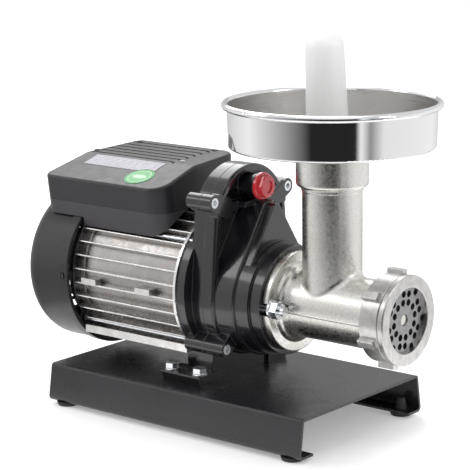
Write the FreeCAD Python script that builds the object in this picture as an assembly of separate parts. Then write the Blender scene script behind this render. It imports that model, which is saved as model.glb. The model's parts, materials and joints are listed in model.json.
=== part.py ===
import FreeCAD, Part
import math
import os

# Electric meat grinder, size 12: induction motor, two-stage gearbox, cast grinding head and
# sheet-steel base. X runs along the motor and barrel axis towards the cutting plate, Y runs
# towards the back, Z points up. Lengths are in millimetres, and X = 0 here is the middle of
# the base. save() shifts everything so that the frame's origin lies under the middle of the
# whole machine, on the surface that the rubber feet stand on.

# --- driving dimensions ---------------------------------------------------------------------
MOTOR_Z = 134.5            # motor axis height
OUT_Z = 128.0              # output shaft, auger and barrel axis height
COUNTER_Z = 194.5          # countershaft height
BOX_REAR_X = -200.0        # back of the control box
FRONT_X = 218.4            # front face of the ring nut

BASE_LENGTH = 329.5
BASE_HALF_WIDTH = 95.85
BASE_TOP_Z = 43.3
BASE_SHEET = 2.5
BASE_SPLAY = 6.2           # how far each side flange leans out at its foot
LIP_Z = 4.1                # underside of the inward lips
LIP_WIDTH = 22.0
FOOT_X = 148.0
FOOT_Y = 90.5
FOOT_NECK_R = 3.9

PAD_X = (-34.0, 16.0)
PAD_Y = (40.0, 73.0)
PAD_TOP_Z = 53.0
PAD_BOLT_X = (-27.5, 8.5)
PAD_BOLT_Y = 61.5
PEDESTAL_X = (-20.0, 13.0)
PEDESTAL_HALF_Y = 46.0

STATOR_X = (-149.0, -9.3)
STATOR_BORE_R = 64.0
STATOR_SKIN_R = 67.5
FIN_R = 77.0
FIN_COUNT = 33
FIN_THICK = 2.6
TIE_ROD_R = 73.0           # radius of the circle that the tie rods lie on
TIE_ROD_ANGLES = (47.9, 135.2, 222.5, 309.8)
FIRST_FIN = 9.75           # degrees, so that every tie rod lies between two fins
ROTOR_R = 38.0
CORE_X = (-122.0, -42.0)

FAN_COVER_R = 84.7
FAN_COVER_X = (-217.0, -150.6)
COWL_ROUNDING = 20.0
COWL_SCREW_X = FAN_COVER_X[1] - 8.0
COWL_SCREW_ANGLES = (0, 180, 270)
COWL_RECESS = 1.2

CASE_LOW_R = 63.0          # gear case: lower arc, about the output axis
CASE_TOP_R = 56.0          # gear case: upper arch
CASE_TOP_Z = 204.0
CASE_X = (0.0, 14.0)       # rear half
COVER_X = (14.6, 28.0)     # front half, after the gasket
CASE_WALL = 5.0
RIM_WIDTH = 6.5
RECESS_X = 20.0            # floor of the recess behind the front rim
NECK_R = 75.0              # motor flange behind the gear case
UPPER_EAR = (58.0, 229.0)
LOWER_EAR = (56.0, 82.5)
UPPER_EAR_FRONT_X = 28.5
LOWER_EAR_FRONT_X = 40.0
EAR_R = 8.0
EAR_SINK = 5.8             # depth of the screw-head counterbores in the ears

DROP_LOW_R = 60.0          # raised teardrop that carries the output bearings
DROP_TOP_R = 10.0
DROP_TOP_Z = 216.8
DROP_X = (51.0, 60.0)      # first and second front step
NOSE_X = (67.0, 80.0)
NOSE_R = (57.5, 54.7)
BEARING_SEAT_R = 26.0

PLUG_Z = 239.0
PLUG_X = (38.5, 40.0, 44.5, 49.5)

FLANGE_R = 50.4
FLANGE_X = (80.1, 88.0)
BARREL_R = 34.0
BARREL_BORE_R = 29.0
MOUTH_X = (189.0, 209.4)
MOUTH_R = 39.6
PLATE_SEAT_R = 35.3
PLATE_R = 35.0
PLATE_X = (205.4, 213.3)
KNIFE_X = (197.2, 205.2)
AUGER_PITCH = 34.0
RING_X = 190.2
RING_LIP_X = 213.4
RING_OPENING_R = 32.0
STUD_Y = 44.0
STUD_Z = 128.5
STUD_R = 4.9

TUBE_X = 128.2             # feed tube and hopper axis
TUBE_R = 29.4
TUBE_BORE_R = 26.0
COLLAR_R = 35.5
COLLAR_Z = (248.7, 287.4)
COLLAR_RECESS_R = 29.6
COLLAR_RECESS_Z = 262.0

PAN_Z = 287.5              # underside of the hopper pan
PAN_SHEET = 1.2
PAN_WALL_R = (100.3, 101.6)
RIM_Z = 328.7
RIM_CIRCLE_R = 103.4
RIM_BEAD_R = 3.3
NECK_OUT_R = 29.2
NECK_LOW_Z = 263.5
MIDDLE_X = (FAN_COVER_X[0] + TUBE_X + RIM_CIRCLE_R + RIM_BEAD_R) / 2

PUSHER_Z = (186.0, 396.5)
PUSHER_R = (21.6, 20.9, 20.0, 18.4)
PUSHER_R_Z = (186.0, 286.0, 330.0, 380.0)
PUSHER_LEAN = 1.9          # degrees, as it rests against the mouth of the tube
PUSHER_LEAN_HEADING = 219.5

BOX_PARTING_Z = 209.0
BOX_SHELL = 2.5
BOX_BACK_Y = 66.0
BOX_DRAFT = 0.137          # lean of the front wall, which comes in towards the bottom
BOX_CORNER_R = (9.0, 20.0)  # upright corners at the left end and at the right end
BOX_CREASE_Y = -8.0
BOX_BOTTOM_Z = 183.0
BOX_OUTLINE = ((-200.0, -66.0), (-36.5, -66.0), (-43.0, 66.0), (-180.4, 66.0))
BOX_TOP = ((-66.0, 235.0), (-8.0, 252.0), (66.0, 256.5))

SWITCH_X = (-116.0, -86.0)
SWITCH_Z = (219.0, 241.0)
SWITCH_PIVOT_Y = 62.5
SWITCH_PIN_R = 1.5
GLAND_X = -150.0
GLAND_Z = 230.0
BOX_SCREWS = ((-65.5, 2.5), (-186.0, 3.5), (-69.0, 58.5), (-172.0, 55.0))
SCREW_SINK = 0.9
LABEL_PLACE = (-123.5, -22.0)
STICKER_PLACE = (-83.0, -44.0)
STICKER_R = 16.0
GROOVE_BEND_X = -77.0
GROOVE_BEND_R = 10.0

STAGE_ONE = (1.25, 16, 80)  # module and teeth: motor pinion, intermediate gear
STAGE_TWO = (1.75, 19, 57)  # module and teeth: countershaft pinion, output gear
BACKLASH = 0.25
RUNNING = 0.05             # radial running clearance


def vec(x, y, z):
    return FreeCAD.Vector(x, y, z)


def save(shape, name):
    if len(shape.Solids) == 1:
        shape = shape.Solids[0]
    moved = shape.copy()
    moved.translate(vec(-MIDDLE_X, 0, 0))
    moved.exportStep(os.path.join("parts", name + ".step"))


def fuse(shapes):
    first = shapes[0]
    if len(shapes) == 1:
        return first
    return first.fuse(shapes[1:]).removeSplitter()


def cut(shape, tools):
    return shape.cut(tools)


def group(shapes):
    return Part.makeCompound(shapes)


def mirrored(shape):
    return shape.mirror(vec(0, 0, 0), vec(0, 1, 0))


def both_sides(shape):
    return [shape, mirrored(shape)]


def box(x, y, z):
    return Part.makeBox(x[1] - x[0], y[1] - y[0], z[1] - z[0], vec(x[0], y[0], z[0]))


def rod_x(x0, x1, radius, y, z):
    return Part.makeCylinder(radius, x1 - x0, vec(x0, y, z), vec(1, 0, 0))


def rod_y(y0, y1, radius, x, z):
    return Part.makeCylinder(radius, y1 - y0, vec(x, y0, z), vec(0, 1, 0))


def rod_z(z0, z1, radius, x, y):
    return Part.makeCylinder(radius, z1 - z0, vec(x, y, z0), vec(0, 0, 1))


def cone_z(z0, z1, r0, r1, x, y):
    return Part.makeCone(r0, r1, z1 - z0, vec(x, y, z0), vec(0, 0, 1))


def ring_x(x0, x1, outer, inner, y, z):
    return cut(rod_x(x0, x1, outer, y, z), [rod_x(x0 - 1, x1 + 1, inner, y, z)])


def ring_z(z0, z1, outer, inner, x, y):
    return cut(rod_z(z0, z1, outer, x, y), [rod_z(z0 - 1, z1 + 1, inner, x, y)])


def rounded_wire(corners):
    """Closed wire through (point, radius) corners, each one rounded by its radius."""
    stops = []
    for i, (here, radius) in enumerate(corners):
        if radius == 0:
            stops.append((here, None, here))
            continue
        back = (corners[i - 1][0] - here).normalize()
        onward = (corners[(i + 1) % len(corners)][0] - here).normalize()
        half = back.getAngle(onward) / 2
        reach = radius / math.tan(half)
        centre = here + (back + onward).normalize() * (radius / math.sin(half))
        middle = centre + (here - centre).normalize() * radius
        stops.append((here + back * reach, middle, here + onward * reach))
    edges = []
    for i, (start, middle, end) in enumerate(stops):
        if middle is not None:
            edges.append(Part.Arc(start, middle, end).toShape())
        following = stops[(i + 1) % len(stops)][0]
        if end.distanceToPoint(following) > 1e-6:
            edges.append(Part.LineSegment(end, following).toShape())
    return Part.Wire(edges)


def turned_x(profile, y, z):
    """Solid of revolution about a line along X, from (x, radius, corner radius) points."""
    corners = [(vec(x, y, z + radius), rounding) for x, radius, rounding in profile]
    face = Part.Face(rounded_wire(corners))
    return face.revolve(vec(0, y, z), vec(1, 0, 0), 360)


def turned_z(profile, x, y):
    """Solid of revolution about a vertical line, from (radius, z, corner radius) points."""
    corners = [(vec(x + radius, y, z), rounding) for radius, z, rounding in profile]
    face = Part.Face(rounded_wire(corners))
    return face.revolve(vec(x, y, 0), vec(0, 0, 1), 360)


def prism_x(points, x0, x1):
    """Prism along X from (y, z, corner radius) points."""
    corners = [(vec(x0, y, z), rounding) for y, z, rounding in points]
    return Part.Face(rounded_wire(corners)).extrude(vec(x1 - x0, 0, 0))


def prism_z(points, z0, z1):
    """Upright prism from (x, y, corner radius) points."""
    corners = [(vec(x, y, z0), rounding) for x, y, rounding in points]
    return Part.Face(rounded_wire(corners)).extrude(vec(0, 0, z1 - z0))


def two_circle_prism(low_r, low_z, top_r, top_z, x0, x1):
    """Prism along X whose outline is two arcs on the centre plane and their common tangents."""
    rise = top_z - low_z
    tilt = math.asin((low_r - top_r) / rise)
    side_y = math.cos(tilt)
    side_z = math.sin(tilt)

    def at(radius, centre_z, sign):
        return vec(x0, sign * radius * side_y, centre_z + radius * side_z)

    low_left = at(low_r, low_z, -1)
    low_right = at(low_r, low_z, 1)
    top_left = at(top_r, top_z, -1)
    top_right = at(top_r, top_z, 1)
    edges = [
        Part.Arc(low_left, vec(x0, 0, low_z - low_r), low_right).toShape(),
        Part.LineSegment(low_right, top_right).toShape(),
        Part.Arc(top_right, vec(x0, 0, top_z + top_r), top_left).toShape(),
        Part.LineSegment(top_left, low_left).toShape(),
    ]
    return Part.Face(Part.Wire(edges)).extrude(vec(x1 - x0, 0, 0))


def case_prism(inset, x0, x1):
    return two_circle_prism(CASE_LOW_R - inset, OUT_Z, CASE_TOP_R - inset, CASE_TOP_Z, x0, x1)


def drop_prism(inset, x0, x1):
    return two_circle_prism(DROP_LOW_R - inset, OUT_Z, DROP_TOP_R - inset, DROP_TOP_Z, x0, x1)


def hex_x(x0, x1, across_flats, y, z):
    corner_r = across_flats / math.sqrt(3)
    points = []
    for i in range(6):
        angle = math.radians(60 * i)
        points.append((y + corner_r * math.cos(angle), z + corner_r * math.sin(angle), 0))
    return prism_x(points, x0, x1)


def hex_z(z0, z1, across_flats, x, y):
    corner_r = across_flats / math.sqrt(3)
    points = []
    for i in range(6):
        angle = math.radians(60 * i + 12)
        points.append((x + corner_r * math.cos(angle), y + corner_r * math.sin(angle), 0))
    return prism_z(points, z0, z1)


def socket_screw_x(head_x, length, head_r, shank_r, y, z):
    """Socket-head screw whose shank runs towards -X from the seat at head_x."""
    head_height = 6.0
    head = rod_x(head_x, head_x + head_height, head_r, y, z)
    socket = hex_x(head_x + 2.5, head_x + head_height + 1, head_r, y, z)
    shank = rod_x(head_x - length, head_x + 1, shank_r, y, z)
    return fuse([cut(head, [socket]), shank])


def involute(angle):
    return math.tan(angle) - angle


def gear_prism(x0, x1, y, z, module, teeth, first_tooth):
    """Straight involute gear on an X axis, with a tooth centred on the angle first_tooth."""
    pressure = math.radians(20)
    pitch_r = module * teeth / 2
    base_r = pitch_r * math.cos(pressure)
    root_r = pitch_r - 1.25 * module
    tip_r = pitch_r + 0.95 * module
    pitch_half = math.pi / (2 * teeth) - BACKLASH / (2 * pitch_r)
    start_r = max(root_r, base_r)
    radii = [start_r + (tip_r - start_r) * i / 4 for i in range(5)]
    if root_r < base_r:
        radii.insert(0, root_r)

    def half_angle(radius):
        roll = math.acos(min(1.0, base_r / radius))
        return pitch_half + involute(pressure) - involute(roll)

    points = []
    for tooth in range(teeth):
        middle = math.radians(first_tooth) + 2 * math.pi * tooth / teeth
        flank = [(radius, middle - half_angle(radius)) for radius in radii]
        flank += [(radius, middle + half_angle(radius)) for radius in reversed(radii)]
        for radius, angle in flank:
            points.append(vec(x0, y + radius * math.cos(angle), z + radius * math.sin(angle)))
    points.append(points[0])
    return Part.Face(Part.makePolygon(points)).extrude(vec(x1 - x0, 0, 0))


# --- base -----------------------------------------------------------------------------------
def base_plate():
    side_rise = BASE_TOP_Z - LIP_Z
    lean = math.atan2(BASE_SPLAY, side_rise)
    foot_y = BASE_HALF_WIDTH + BASE_SPLAY
    inner_top_y = BASE_HALF_WIDTH - BASE_SHEET * math.tan(math.pi / 4 - lean / 2)
    inner_foot_y = foot_y - BASE_SHEET / math.cos(lean) - BASE_SHEET * math.tan(lean)
    outside = [
        (-foot_y + LIP_WIDTH, LIP_Z, 0),
        (-foot_y, LIP_Z, 5.0),
        (-BASE_HALF_WIDTH, BASE_TOP_Z, 3.5),
        (BASE_HALF_WIDTH, BASE_TOP_Z, 3.5),
        (foot_y, LIP_Z, 5.0),
        (foot_y - LIP_WIDTH, LIP_Z, 0),
    ]
    inside = [
        (foot_y - LIP_WIDTH, LIP_Z + BASE_SHEET, 0),
        (inner_foot_y, LIP_Z + BASE_SHEET, 2.5),
        (inner_top_y, BASE_TOP_Z - BASE_SHEET, 1.0),
        (-inner_top_y, BASE_TOP_Z - BASE_SHEET, 1.0),
        (-inner_foot_y, LIP_Z + BASE_SHEET, 2.5),
        (-foot_y + LIP_WIDTH, LIP_Z + BASE_SHEET, 0),
    ]
    sheet = prism_x(outside + inside, -BASE_LENGTH / 2, BASE_LENGTH / 2)
    holes = []
    for x in (-FOOT_X, FOOT_X):
        for y in (-FOOT_Y, FOOT_Y):
            holes.append(rod_z(LIP_Z - 1, LIP_Z + BASE_SHEET + 1, FOOT_NECK_R + 0.1, x, y))
    for x in PAD_BOLT_X:
        for y in (-PAD_BOLT_Y, PAD_BOLT_Y):
            holes.append(rod_z(BASE_TOP_Z - BASE_SHEET - 1, BASE_TOP_Z + 1, 4.5, x, y))
    return cut(sheet, holes)


def rubber_feet():
    lip_top = LIP_Z + BASE_SHEET
    profile = [
        (0, 0, 0),
        (10.5, 0, 1.5),
        (11.5, LIP_Z, 0),
        (FOOT_NECK_R, LIP_Z, 0),
        (FOOT_NECK_R, lip_top, 0),
        (6.0, lip_top, 0),
        (4.2, lip_top + 12.0, 1.5),
        (0, lip_top + 12.0, 0),
    ]
    feet = []
    for x in (-FOOT_X, FOOT_X):
        for y in (-FOOT_Y, FOOT_Y):
            feet.append(turned_z(profile, x, y))
    return group(feet)


def pad_bolt_places():
    return [(x, y) for x in PAD_BOLT_X for y in (-PAD_BOLT_Y, PAD_BOLT_Y)]


def foot_bolts():
    seat = PAD_TOP_Z + 1.6
    low = BASE_TOP_Z - BASE_SHEET - 12
    bolts = []
    for x, y in pad_bolt_places():
        head = hex_z(seat, seat + 5.3, 13.0, x, y)
        bolts.append(fuse([head, rod_z(low, seat, 3.9, x, y)]))
    return group(bolts)


def foot_washers():
    washers = []
    for x, y in pad_bolt_places():
        washers.append(ring_z(PAD_TOP_Z, PAD_TOP_Z + 1.6, 8.0, 4.2, x, y))
        under = BASE_TOP_Z - BASE_SHEET
        washers.append(ring_z(under - 1.6, under, 8.0, 4.2, x, y))
    return group(washers)


def foot_nuts():
    top = BASE_TOP_Z - BASE_SHEET - 1.6
    nuts = []
    for x, y in pad_bolt_places():
        nuts.append(cut(hex_z(top - 6.5, top, 13.0, x, y), [rod_z(top - 8, top + 1, 4.0, x, y)]))
    return group(nuts)


# --- motor ----------------------------------------------------------------------------------
def polar_x(radius, degrees):
    """Y and Z offsets of a point at an angle about an X axis."""
    return radius * math.cos(math.radians(degrees)), radius * math.sin(math.radians(degrees))


def fin(degrees):
    """One cooling fin with a thinner rounded tip."""
    half = FIN_THICK / 2
    points = [
        (STATOR_SKIN_R - 1.5, -half, 0),
        (FIN_R, -half * 0.7, half * 0.6),
        (FIN_R, half * 0.7, half * 0.6),
        (STATOR_SKIN_R - 1.5, half, 0),
    ]
    blade = prism_x(points, STATOR_X[0], STATOR_X[1])
    blade.rotate(vec(0, 0, 0), vec(1, 0, 0), degrees)
    blade.translate(vec(0, 0, MOTOR_Z))
    return blade


def stator_housing():
    x0, x1 = STATOR_X
    pieces = [rod_x(x0, x1, STATOR_SKIN_R, 0, MOTOR_Z)]
    pieces.append(rod_x(x0, x0 + 10, STATOR_SKIN_R + 2.2, 0, MOTOR_Z))
    pieces.append(rod_x(x1 - 3.2, x1, FIN_R - 0.4, 0, MOTOR_Z))
    for i in range(FIN_COUNT):
        pieces.append(fin(360.0 * i / FIN_COUNT + FIRST_FIN))
    for y0, y1 in ((-60.0, -36.0), (36.0, 60.0)):
        rail = box((x0, x1), (y0, y1), (MOTOR_Z - 62.5, MOTOR_Z - 54.5))
        pieces.append(cut(rail, [rod_x(x0 - 1, x1 + 1, STATOR_SKIN_R - 1, 0, MOTOR_Z)]))
    for x in (-136.0, -62.0):
        for degrees in (182.0, -2.0):
            y, z = polar_x(FIN_R - 4, degrees)
            pieces.append(box((x, x + 20), (y - 5.5, y + 5.5), (MOTOR_Z + z - 3.2, MOTOR_Z + z + 3.2)))
    body = fuse(pieces)
    holes = [rod_x(x0 - 1, x1 + 1, STATOR_BORE_R, 0, MOTOR_Z)]
    for degrees in TIE_ROD_ANGLES:
        y, z = polar_x(TIE_ROD_R, degrees)
        holes.append(rod_x(x0 - 1, x1 + 1, 3.3, y, MOTOR_Z + z))
    return cut(body, holes)


def stator_core():
    """Laminated stack with open slots round its bore."""
    x0, x1 = CORE_X
    stack = ring_x(x0, x1, STATOR_BORE_R - RUNNING, ROTOR_R + 0.6, 0, MOTOR_Z)
    slots = []
    for i in range(24):
        slot = box((x0 - 1, x1 + 1), (ROTOR_R - 1, 54), (-2.2, 2.2))
        slot.rotate(vec(0, 0, 0), vec(1, 0, 0), i * 15)
        slot.translate(vec(0, 0, MOTOR_Z))
        slots.append(slot)
    return cut(stack, slots)


def stator_windings():
    """Copper in the slots, joined by a rounded end turn at each end of the core."""
    x0, x1 = CORE_X
    pieces = []
    for near, far in ((x0 - 17, x0 - 0.2), (x1 + 0.2, x1 + 17)):
        profile = [(near, 42.0, 4), (near, 58.0, 5), (far, 58.0, 2), (far, 42.0, 2)]
        pieces.append(turned_x(profile, 0, MOTOR_Z))
    for i in range(24):
        bar = box((x0 - 4, x1 + 4), (42.5, 53.5), (-1.9, 1.9))
        bar.rotate(vec(0, 0, 0), vec(1, 0, 0), i * 15)
        bar.translate(vec(0, 0, MOTOR_Z))
        pieces.append(bar)
    return fuse(pieces)


def rotor_core():
    """Squirrel-cage rotor: stack with a thicker end ring and stub blades at each end."""
    x0, x1 = CORE_X
    pieces = [rod_x(x0 + 1, x1 - 1, ROTOR_R, 0, MOTOR_Z)]
    pieces.append(rod_x(x0 - 7, x0 + 2, ROTOR_R - 2, 0, MOTOR_Z))
    pieces.append(rod_x(x1 - 2, x1 + 7, ROTOR_R - 2, 0, MOTOR_Z))
    return cut(fuse(pieces), [rod_x(x0 - 20, x1 + 20, 11.0, 0, MOTOR_Z)])


def motor_shaft():
    steps = [
        (-181.0, 5.0),
        (-158.0, 7.5),
        (-138.0, 11.0),
        (-11.0, 7.5),
        (5.5, 6.0),
        (16.0, 6.0),
    ]
    pieces = []
    for (x0, radius), (x1, _) in zip(steps, steps[1:]):
        pieces.append(rod_x(x0, x1, radius, 0, MOTOR_Z))
    return fuse(pieces)


def ball_bearing(x0, width, outer, bore, y, z):
    """Shielded ball bearing: plain ring with a groove on each face between its races."""
    ring = ring_x(x0, x0 + width, outer - 0.02, bore + RUNNING, y, z)
    middle = (outer + bore) / 2
    half = (outer - bore) * 0.18
    grooves = [
        ring_x(x0 - 1, x0 + 0.8, middle + half, middle - half, y, z),
        ring_x(x0 + width - 0.8, x0 + width + 1, middle + half, middle - half, y, z),
    ]
    return cut(ring, grooves)


def rear_end_shield():
    """Black cast disc that closes the back of the stator and holds the rear bearing."""
    disc = rod_x(-150.4, -146.0, FIN_R - 1.0, 0, MOTOR_Z)
    spigot = ring_x(-149.0, -144.5, STATOR_BORE_R - 0.1, 58.0, 0, MOTOR_Z)
    hub = rod_x(-157.0, -139.5, 24.0, 0, MOTOR_Z)
    disc = cut(disc, [ring_x(-149.0, -140.0, FIN_R, STATOR_BORE_R - 0.1, 0, MOTOR_Z)])
    holes = [rod_x(-152.0, -139.0, 17.5, 0, MOTOR_Z), rod_x(-160.0, -150.0, 9.0, 0, MOTOR_Z)]
    lugs = []
    for degrees in TIE_ROD_ANGLES:
        y, z = polar_x(TIE_ROD_R, degrees)
        lugs.append(rod_x(-155.0, -149.1, 6.0, y, MOTOR_Z + z))
        holes.append(rod_x(-160.0, -140.0, 2.7, y, MOTOR_Z + z))
    return cut(fuse([disc, spigot, hub] + lugs), holes)


def tie_rods():
    rods = []
    for degrees in TIE_ROD_ANGLES:
        y, z = polar_x(TIE_ROD_R, degrees)
        head = hex_x(-159.0, -155.0, 8.0, y, MOTOR_Z + z)
        rods.append(fuse([head, rod_x(-155.0, -4.5, 2.5, y, MOTOR_Z + z)]))
    return group(rods)


def cooling_fan():
    """Radial fan: hub, back disc and straight blades."""
    pieces = [rod_x(-178.0, -160.0, 13.0, 0, MOTOR_Z)]
    pieces.append(rod_x(-163.0, -160.5, 68.0, 0, MOTOR_Z))
    for i in range(9):
        blade = box((-178.0, -162.0), (10.0, 67.0), (-1.2, 1.2))
        blade.rotate(vec(0, 0, 0), vec(1, 0, 0), i * 40)
        blade.translate(vec(0, 0, MOTOR_Z))
        pieces.append(blade)
    bore = [rod_x(-180.0, -158.0, 5.0, 0, MOTOR_Z)]
    return cut(fuse(pieces), bore)


def fan_cover():
    """Black cowl with a raised front rim, a domed edge and an air grille in its back."""
    x0, x1 = FAN_COVER_X
    outside = [
        (x0, 0, 0),
        (x0, FAN_COVER_R - 1.6, COWL_ROUNDING),
        (x1 - 11.5, FAN_COVER_R - 1.6, 0),
        (x1 - 10.7, FAN_COVER_R, 0.5),
        (x1, FAN_COVER_R, 1.0),
        (x1, 0, 0),
    ]
    inside = [
        (x0 + 2.5, 0, 0),
        (x0 + 2.5, FAN_COVER_R - 4.2, COWL_ROUNDING - 2.5),
        (x1 + 1, FAN_COVER_R - 4.2, 0),
        (x1 + 1, 0, 0),
    ]
    shell = cut(turned_x(outside, 0, MOTOR_Z), [turned_x(inside, 0, MOTOR_Z)])
    slots = []
    for ring_r in (22.0, 32.0, 42.0, 52.0):
        opening = ring_x(x0 - 1, x0 + 4, ring_r + 3.2, ring_r - 3.2, 0, MOTOR_Z)
        spokes = [box((x0 - 2, x0 + 5), (-2.5, 2.5), (MOTOR_Z - 60, MOTOR_Z + 60))]
        spokes.append(box((x0 - 2, x0 + 5), (-60, 60), (MOTOR_Z - 2.5, MOTOR_Z + 2.5)))
        slots.append(cut(opening, spokes))
    posts = []
    holes = []
    for degrees in COWL_SCREW_ANGLES:
        y, z = polar_x(FAN_COVER_R - 8.0, degrees)
        posts.append(rod_x(x1 - 14.0, x1 - 0.2, 5.0, y, MOTOR_Z + z))
        recess = box((-5.0, 5.0), (-13.0, 13.0), (FAN_COVER_R - COWL_RECESS, FAN_COVER_R + 3.0))
        drill = rod_z(FAN_COVER_R - 12.0, FAN_COVER_R, 2.2, 0, 0)
        holes += [on_cowl(recess, degrees), on_cowl(drill, degrees)]
    return cut(fuse([shell] + posts), slots + holes)


def on_cowl(shape, degrees):
    """Carry a shape drawn above the origin round the motor axis to a cowl screw's place."""
    moved = shape.copy()
    moved.rotate(vec(0, 0, 0), vec(1, 0, 0), degrees - 90)
    moved.translate(vec(COWL_SCREW_X, 0, MOTOR_Z))
    return moved


def fan_cover_screws():
    """Pan-head screws driven inward through the rim of the cowl."""
    seat = FAN_COVER_R - COWL_RECESS
    head = rod_z(seat, seat + 1.6, 3.6, 0, 0)
    shank = rod_z(seat - 9.8, seat + 0.5, 2.0, 0, 0)
    slot = box((-0.5, 0.5), (-4.0, 4.0), (seat + 0.8, seat + 3.0))
    screw = cut(fuse([head, shank]), [slot])
    return group([on_cowl(screw, degrees) for degrees in COWL_SCREW_ANGLES])


# --- gear case ------------------------------------------------------------------------------
def ear_prism(y, z, radius, x0, x1, root_y, root_z):
    """Bolt boss with a web that runs back to the case, on the -Y side."""
    boss = rod_x(x0, x1, radius, -y, z)
    toward = vec(0, y - root_y, root_z - z)
    across = vec(0, -toward.z, toward.y).normalize() * radius
    centre = vec(x0, -y, z)
    root = centre + vec(0, y - root_y, root_z - z)
    corners = [centre + across, root + across, root - across, centre - across]
    web = Part.Face(Part.makePolygon(corners + [corners[0]])).extrude(vec(x1 - x0, 0, 0))
    return fuse([boss, web])


def upper_ear(x0, x1):
    return ear_prism(UPPER_EAR[0], UPPER_EAR[1], EAR_R, x0, x1, 36.0, 217.0)


def lower_ear(x0, x1):
    return ear_prism(LOWER_EAR[0], LOWER_EAR[1], EAR_R, x0, x1, 34.0, 100.0)


def ear_holes(x0, x1, radius):
    holes = []
    for y, z in (UPPER_EAR, LOWER_EAR):
        holes.append(rod_x(x0, x1, radius, -y, z))
        holes.append(rod_x(x0, x1, radius, y, z))
    return holes


def foot_pad():
    x0, x1 = PAD_X
    y0, y1 = PAD_Y
    points = [
        (-y0, BASE_TOP_Z, 0),
        (-y0, PAD_TOP_Z, 0),
        (-y1, PAD_TOP_Z, 1.5),
        (-y1 + 4.5, BASE_TOP_Z, 0),
    ]
    return prism_x(points, x0, x1)


def gearbox_rear_housing():
    x0, x1 = CASE_X
    ear_x0 = -2.0
    pieces = [case_prism(0, x0, x1)]
    pieces.append(rod_x(STATOR_X[1], x0 + 1, NECK_R, 0, MOTOR_Z))
    pieces += both_sides(upper_ear(ear_x0, x1))
    pieces += both_sides(lower_ear(STATOR_X[1] + 0.3, x1))
    pieces.append(box(PEDESTAL_X, (-PEDESTAL_HALF_Y, PEDESTAL_HALF_Y), (BASE_TOP_Z, 80.0)))
    pieces += both_sides(foot_pad())
    body = fuse(pieces)
    cavity = case_prism(CASE_WALL, x0 + CASE_WALL, x1 + 1)
    neck_room = ring_x(STATOR_X[1] - 1, -3.0, 67.0, 24.0, 0, MOTOR_Z)
    counter_boss = rod_x(-6.0, x0 + 4.8, 18.0, 0, COUNTER_Z)
    body = cut(body, [cavity, cut(neck_room, [counter_boss])])
    stator_room = rod_x(PEDESTAL_X[0] - 1, STATOR_X[1], FIN_R + 0.8, 0, MOTOR_Z)
    crawl_space = box((PEDESTAL_X[0] + 5, PEDESTAL_X[1] - 5), (-40, 40), (BASE_TOP_Z - 1, 62.0))
    cuts = [stator_room, crawl_space]
    cuts.append(rod_x(STATOR_X[1] - 1, 2.0, 17.5, 0, MOTOR_Z))
    cuts.append(rod_x(0, 6.0, 8.0, 0, MOTOR_Z))
    cuts.append(rod_x(-4.0, 6.0, 14.0, 0, COUNTER_Z))
    cuts += ear_holes(2.0, x1 + 1, 3.0)
    for degrees in TIE_ROD_ANGLES:
        y, z = polar_x(TIE_ROD_R, degrees)
        cuts.append(rod_x(STATOR_X[1] - 1, -4.0, 2.6, y, MOTOR_Z + z))
    for x, y in pad_bolt_places():
        cuts.append(rod_z(BASE_TOP_Z - 1, PAD_TOP_Z + 1, 4.3, x, y))
        cuts.append(rod_z(PAD_TOP_Z, PAD_TOP_Z + 20, 9.5, x, y))
    return cut(body, cuts)


def gearbox_gasket():
    x0 = CASE_X[1]
    x1 = COVER_X[0]
    outline = case_prism(0, x0, x1)
    ears = both_sides(upper_ear(x0, x1)) + both_sides(lower_ear(x0, x1))
    sheet = fuse([outline] + ears)
    return cut(sheet, [case_prism(CASE_WALL, x0 - 1, x1 + 1)] + ear_holes(x0 - 1, x1 + 1, 3.3))


def plug_shelf():
    """Ledge that crosses the cover under the filler boss."""
    points = [
        (-46.0, 215.0, 0),
        (-46.0, 224.0, 0),
        (0.0, 227.0, 40),
        (46.0, 224.0, 0),
        (46.0, 215.0, 0),
        (0.0, 220.0, 40),
    ]
    bridge = prism_x(points, RECESS_X - 1, COVER_X[1])
    tongue_points = [
        (-24.0, 220.0, 1.2),
        (-22.0, 225.5, 1.5),
        (0.0, 227.0, 30),
        (22.0, 225.5, 1.5),
        (24.0, 220.0, 1.2),
        (0.0, 221.5, 30),
    ]
    tongue = prism_x(tongue_points, RECESS_X - 1, PLUG_X[0])
    return fuse([bridge, tongue])


def corner_gusset():
    """Flat web between the upper bolt boss, the rim and the ledge, on the -Y side."""
    points = [(-56.0, 212.0, 3), (-52.0, 238.0, 3), (-30.0, 228.0, 3), (-30.0, 217.0, 3)]
    return prism_x(points, RECESS_X - 1, COVER_X[1])


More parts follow.
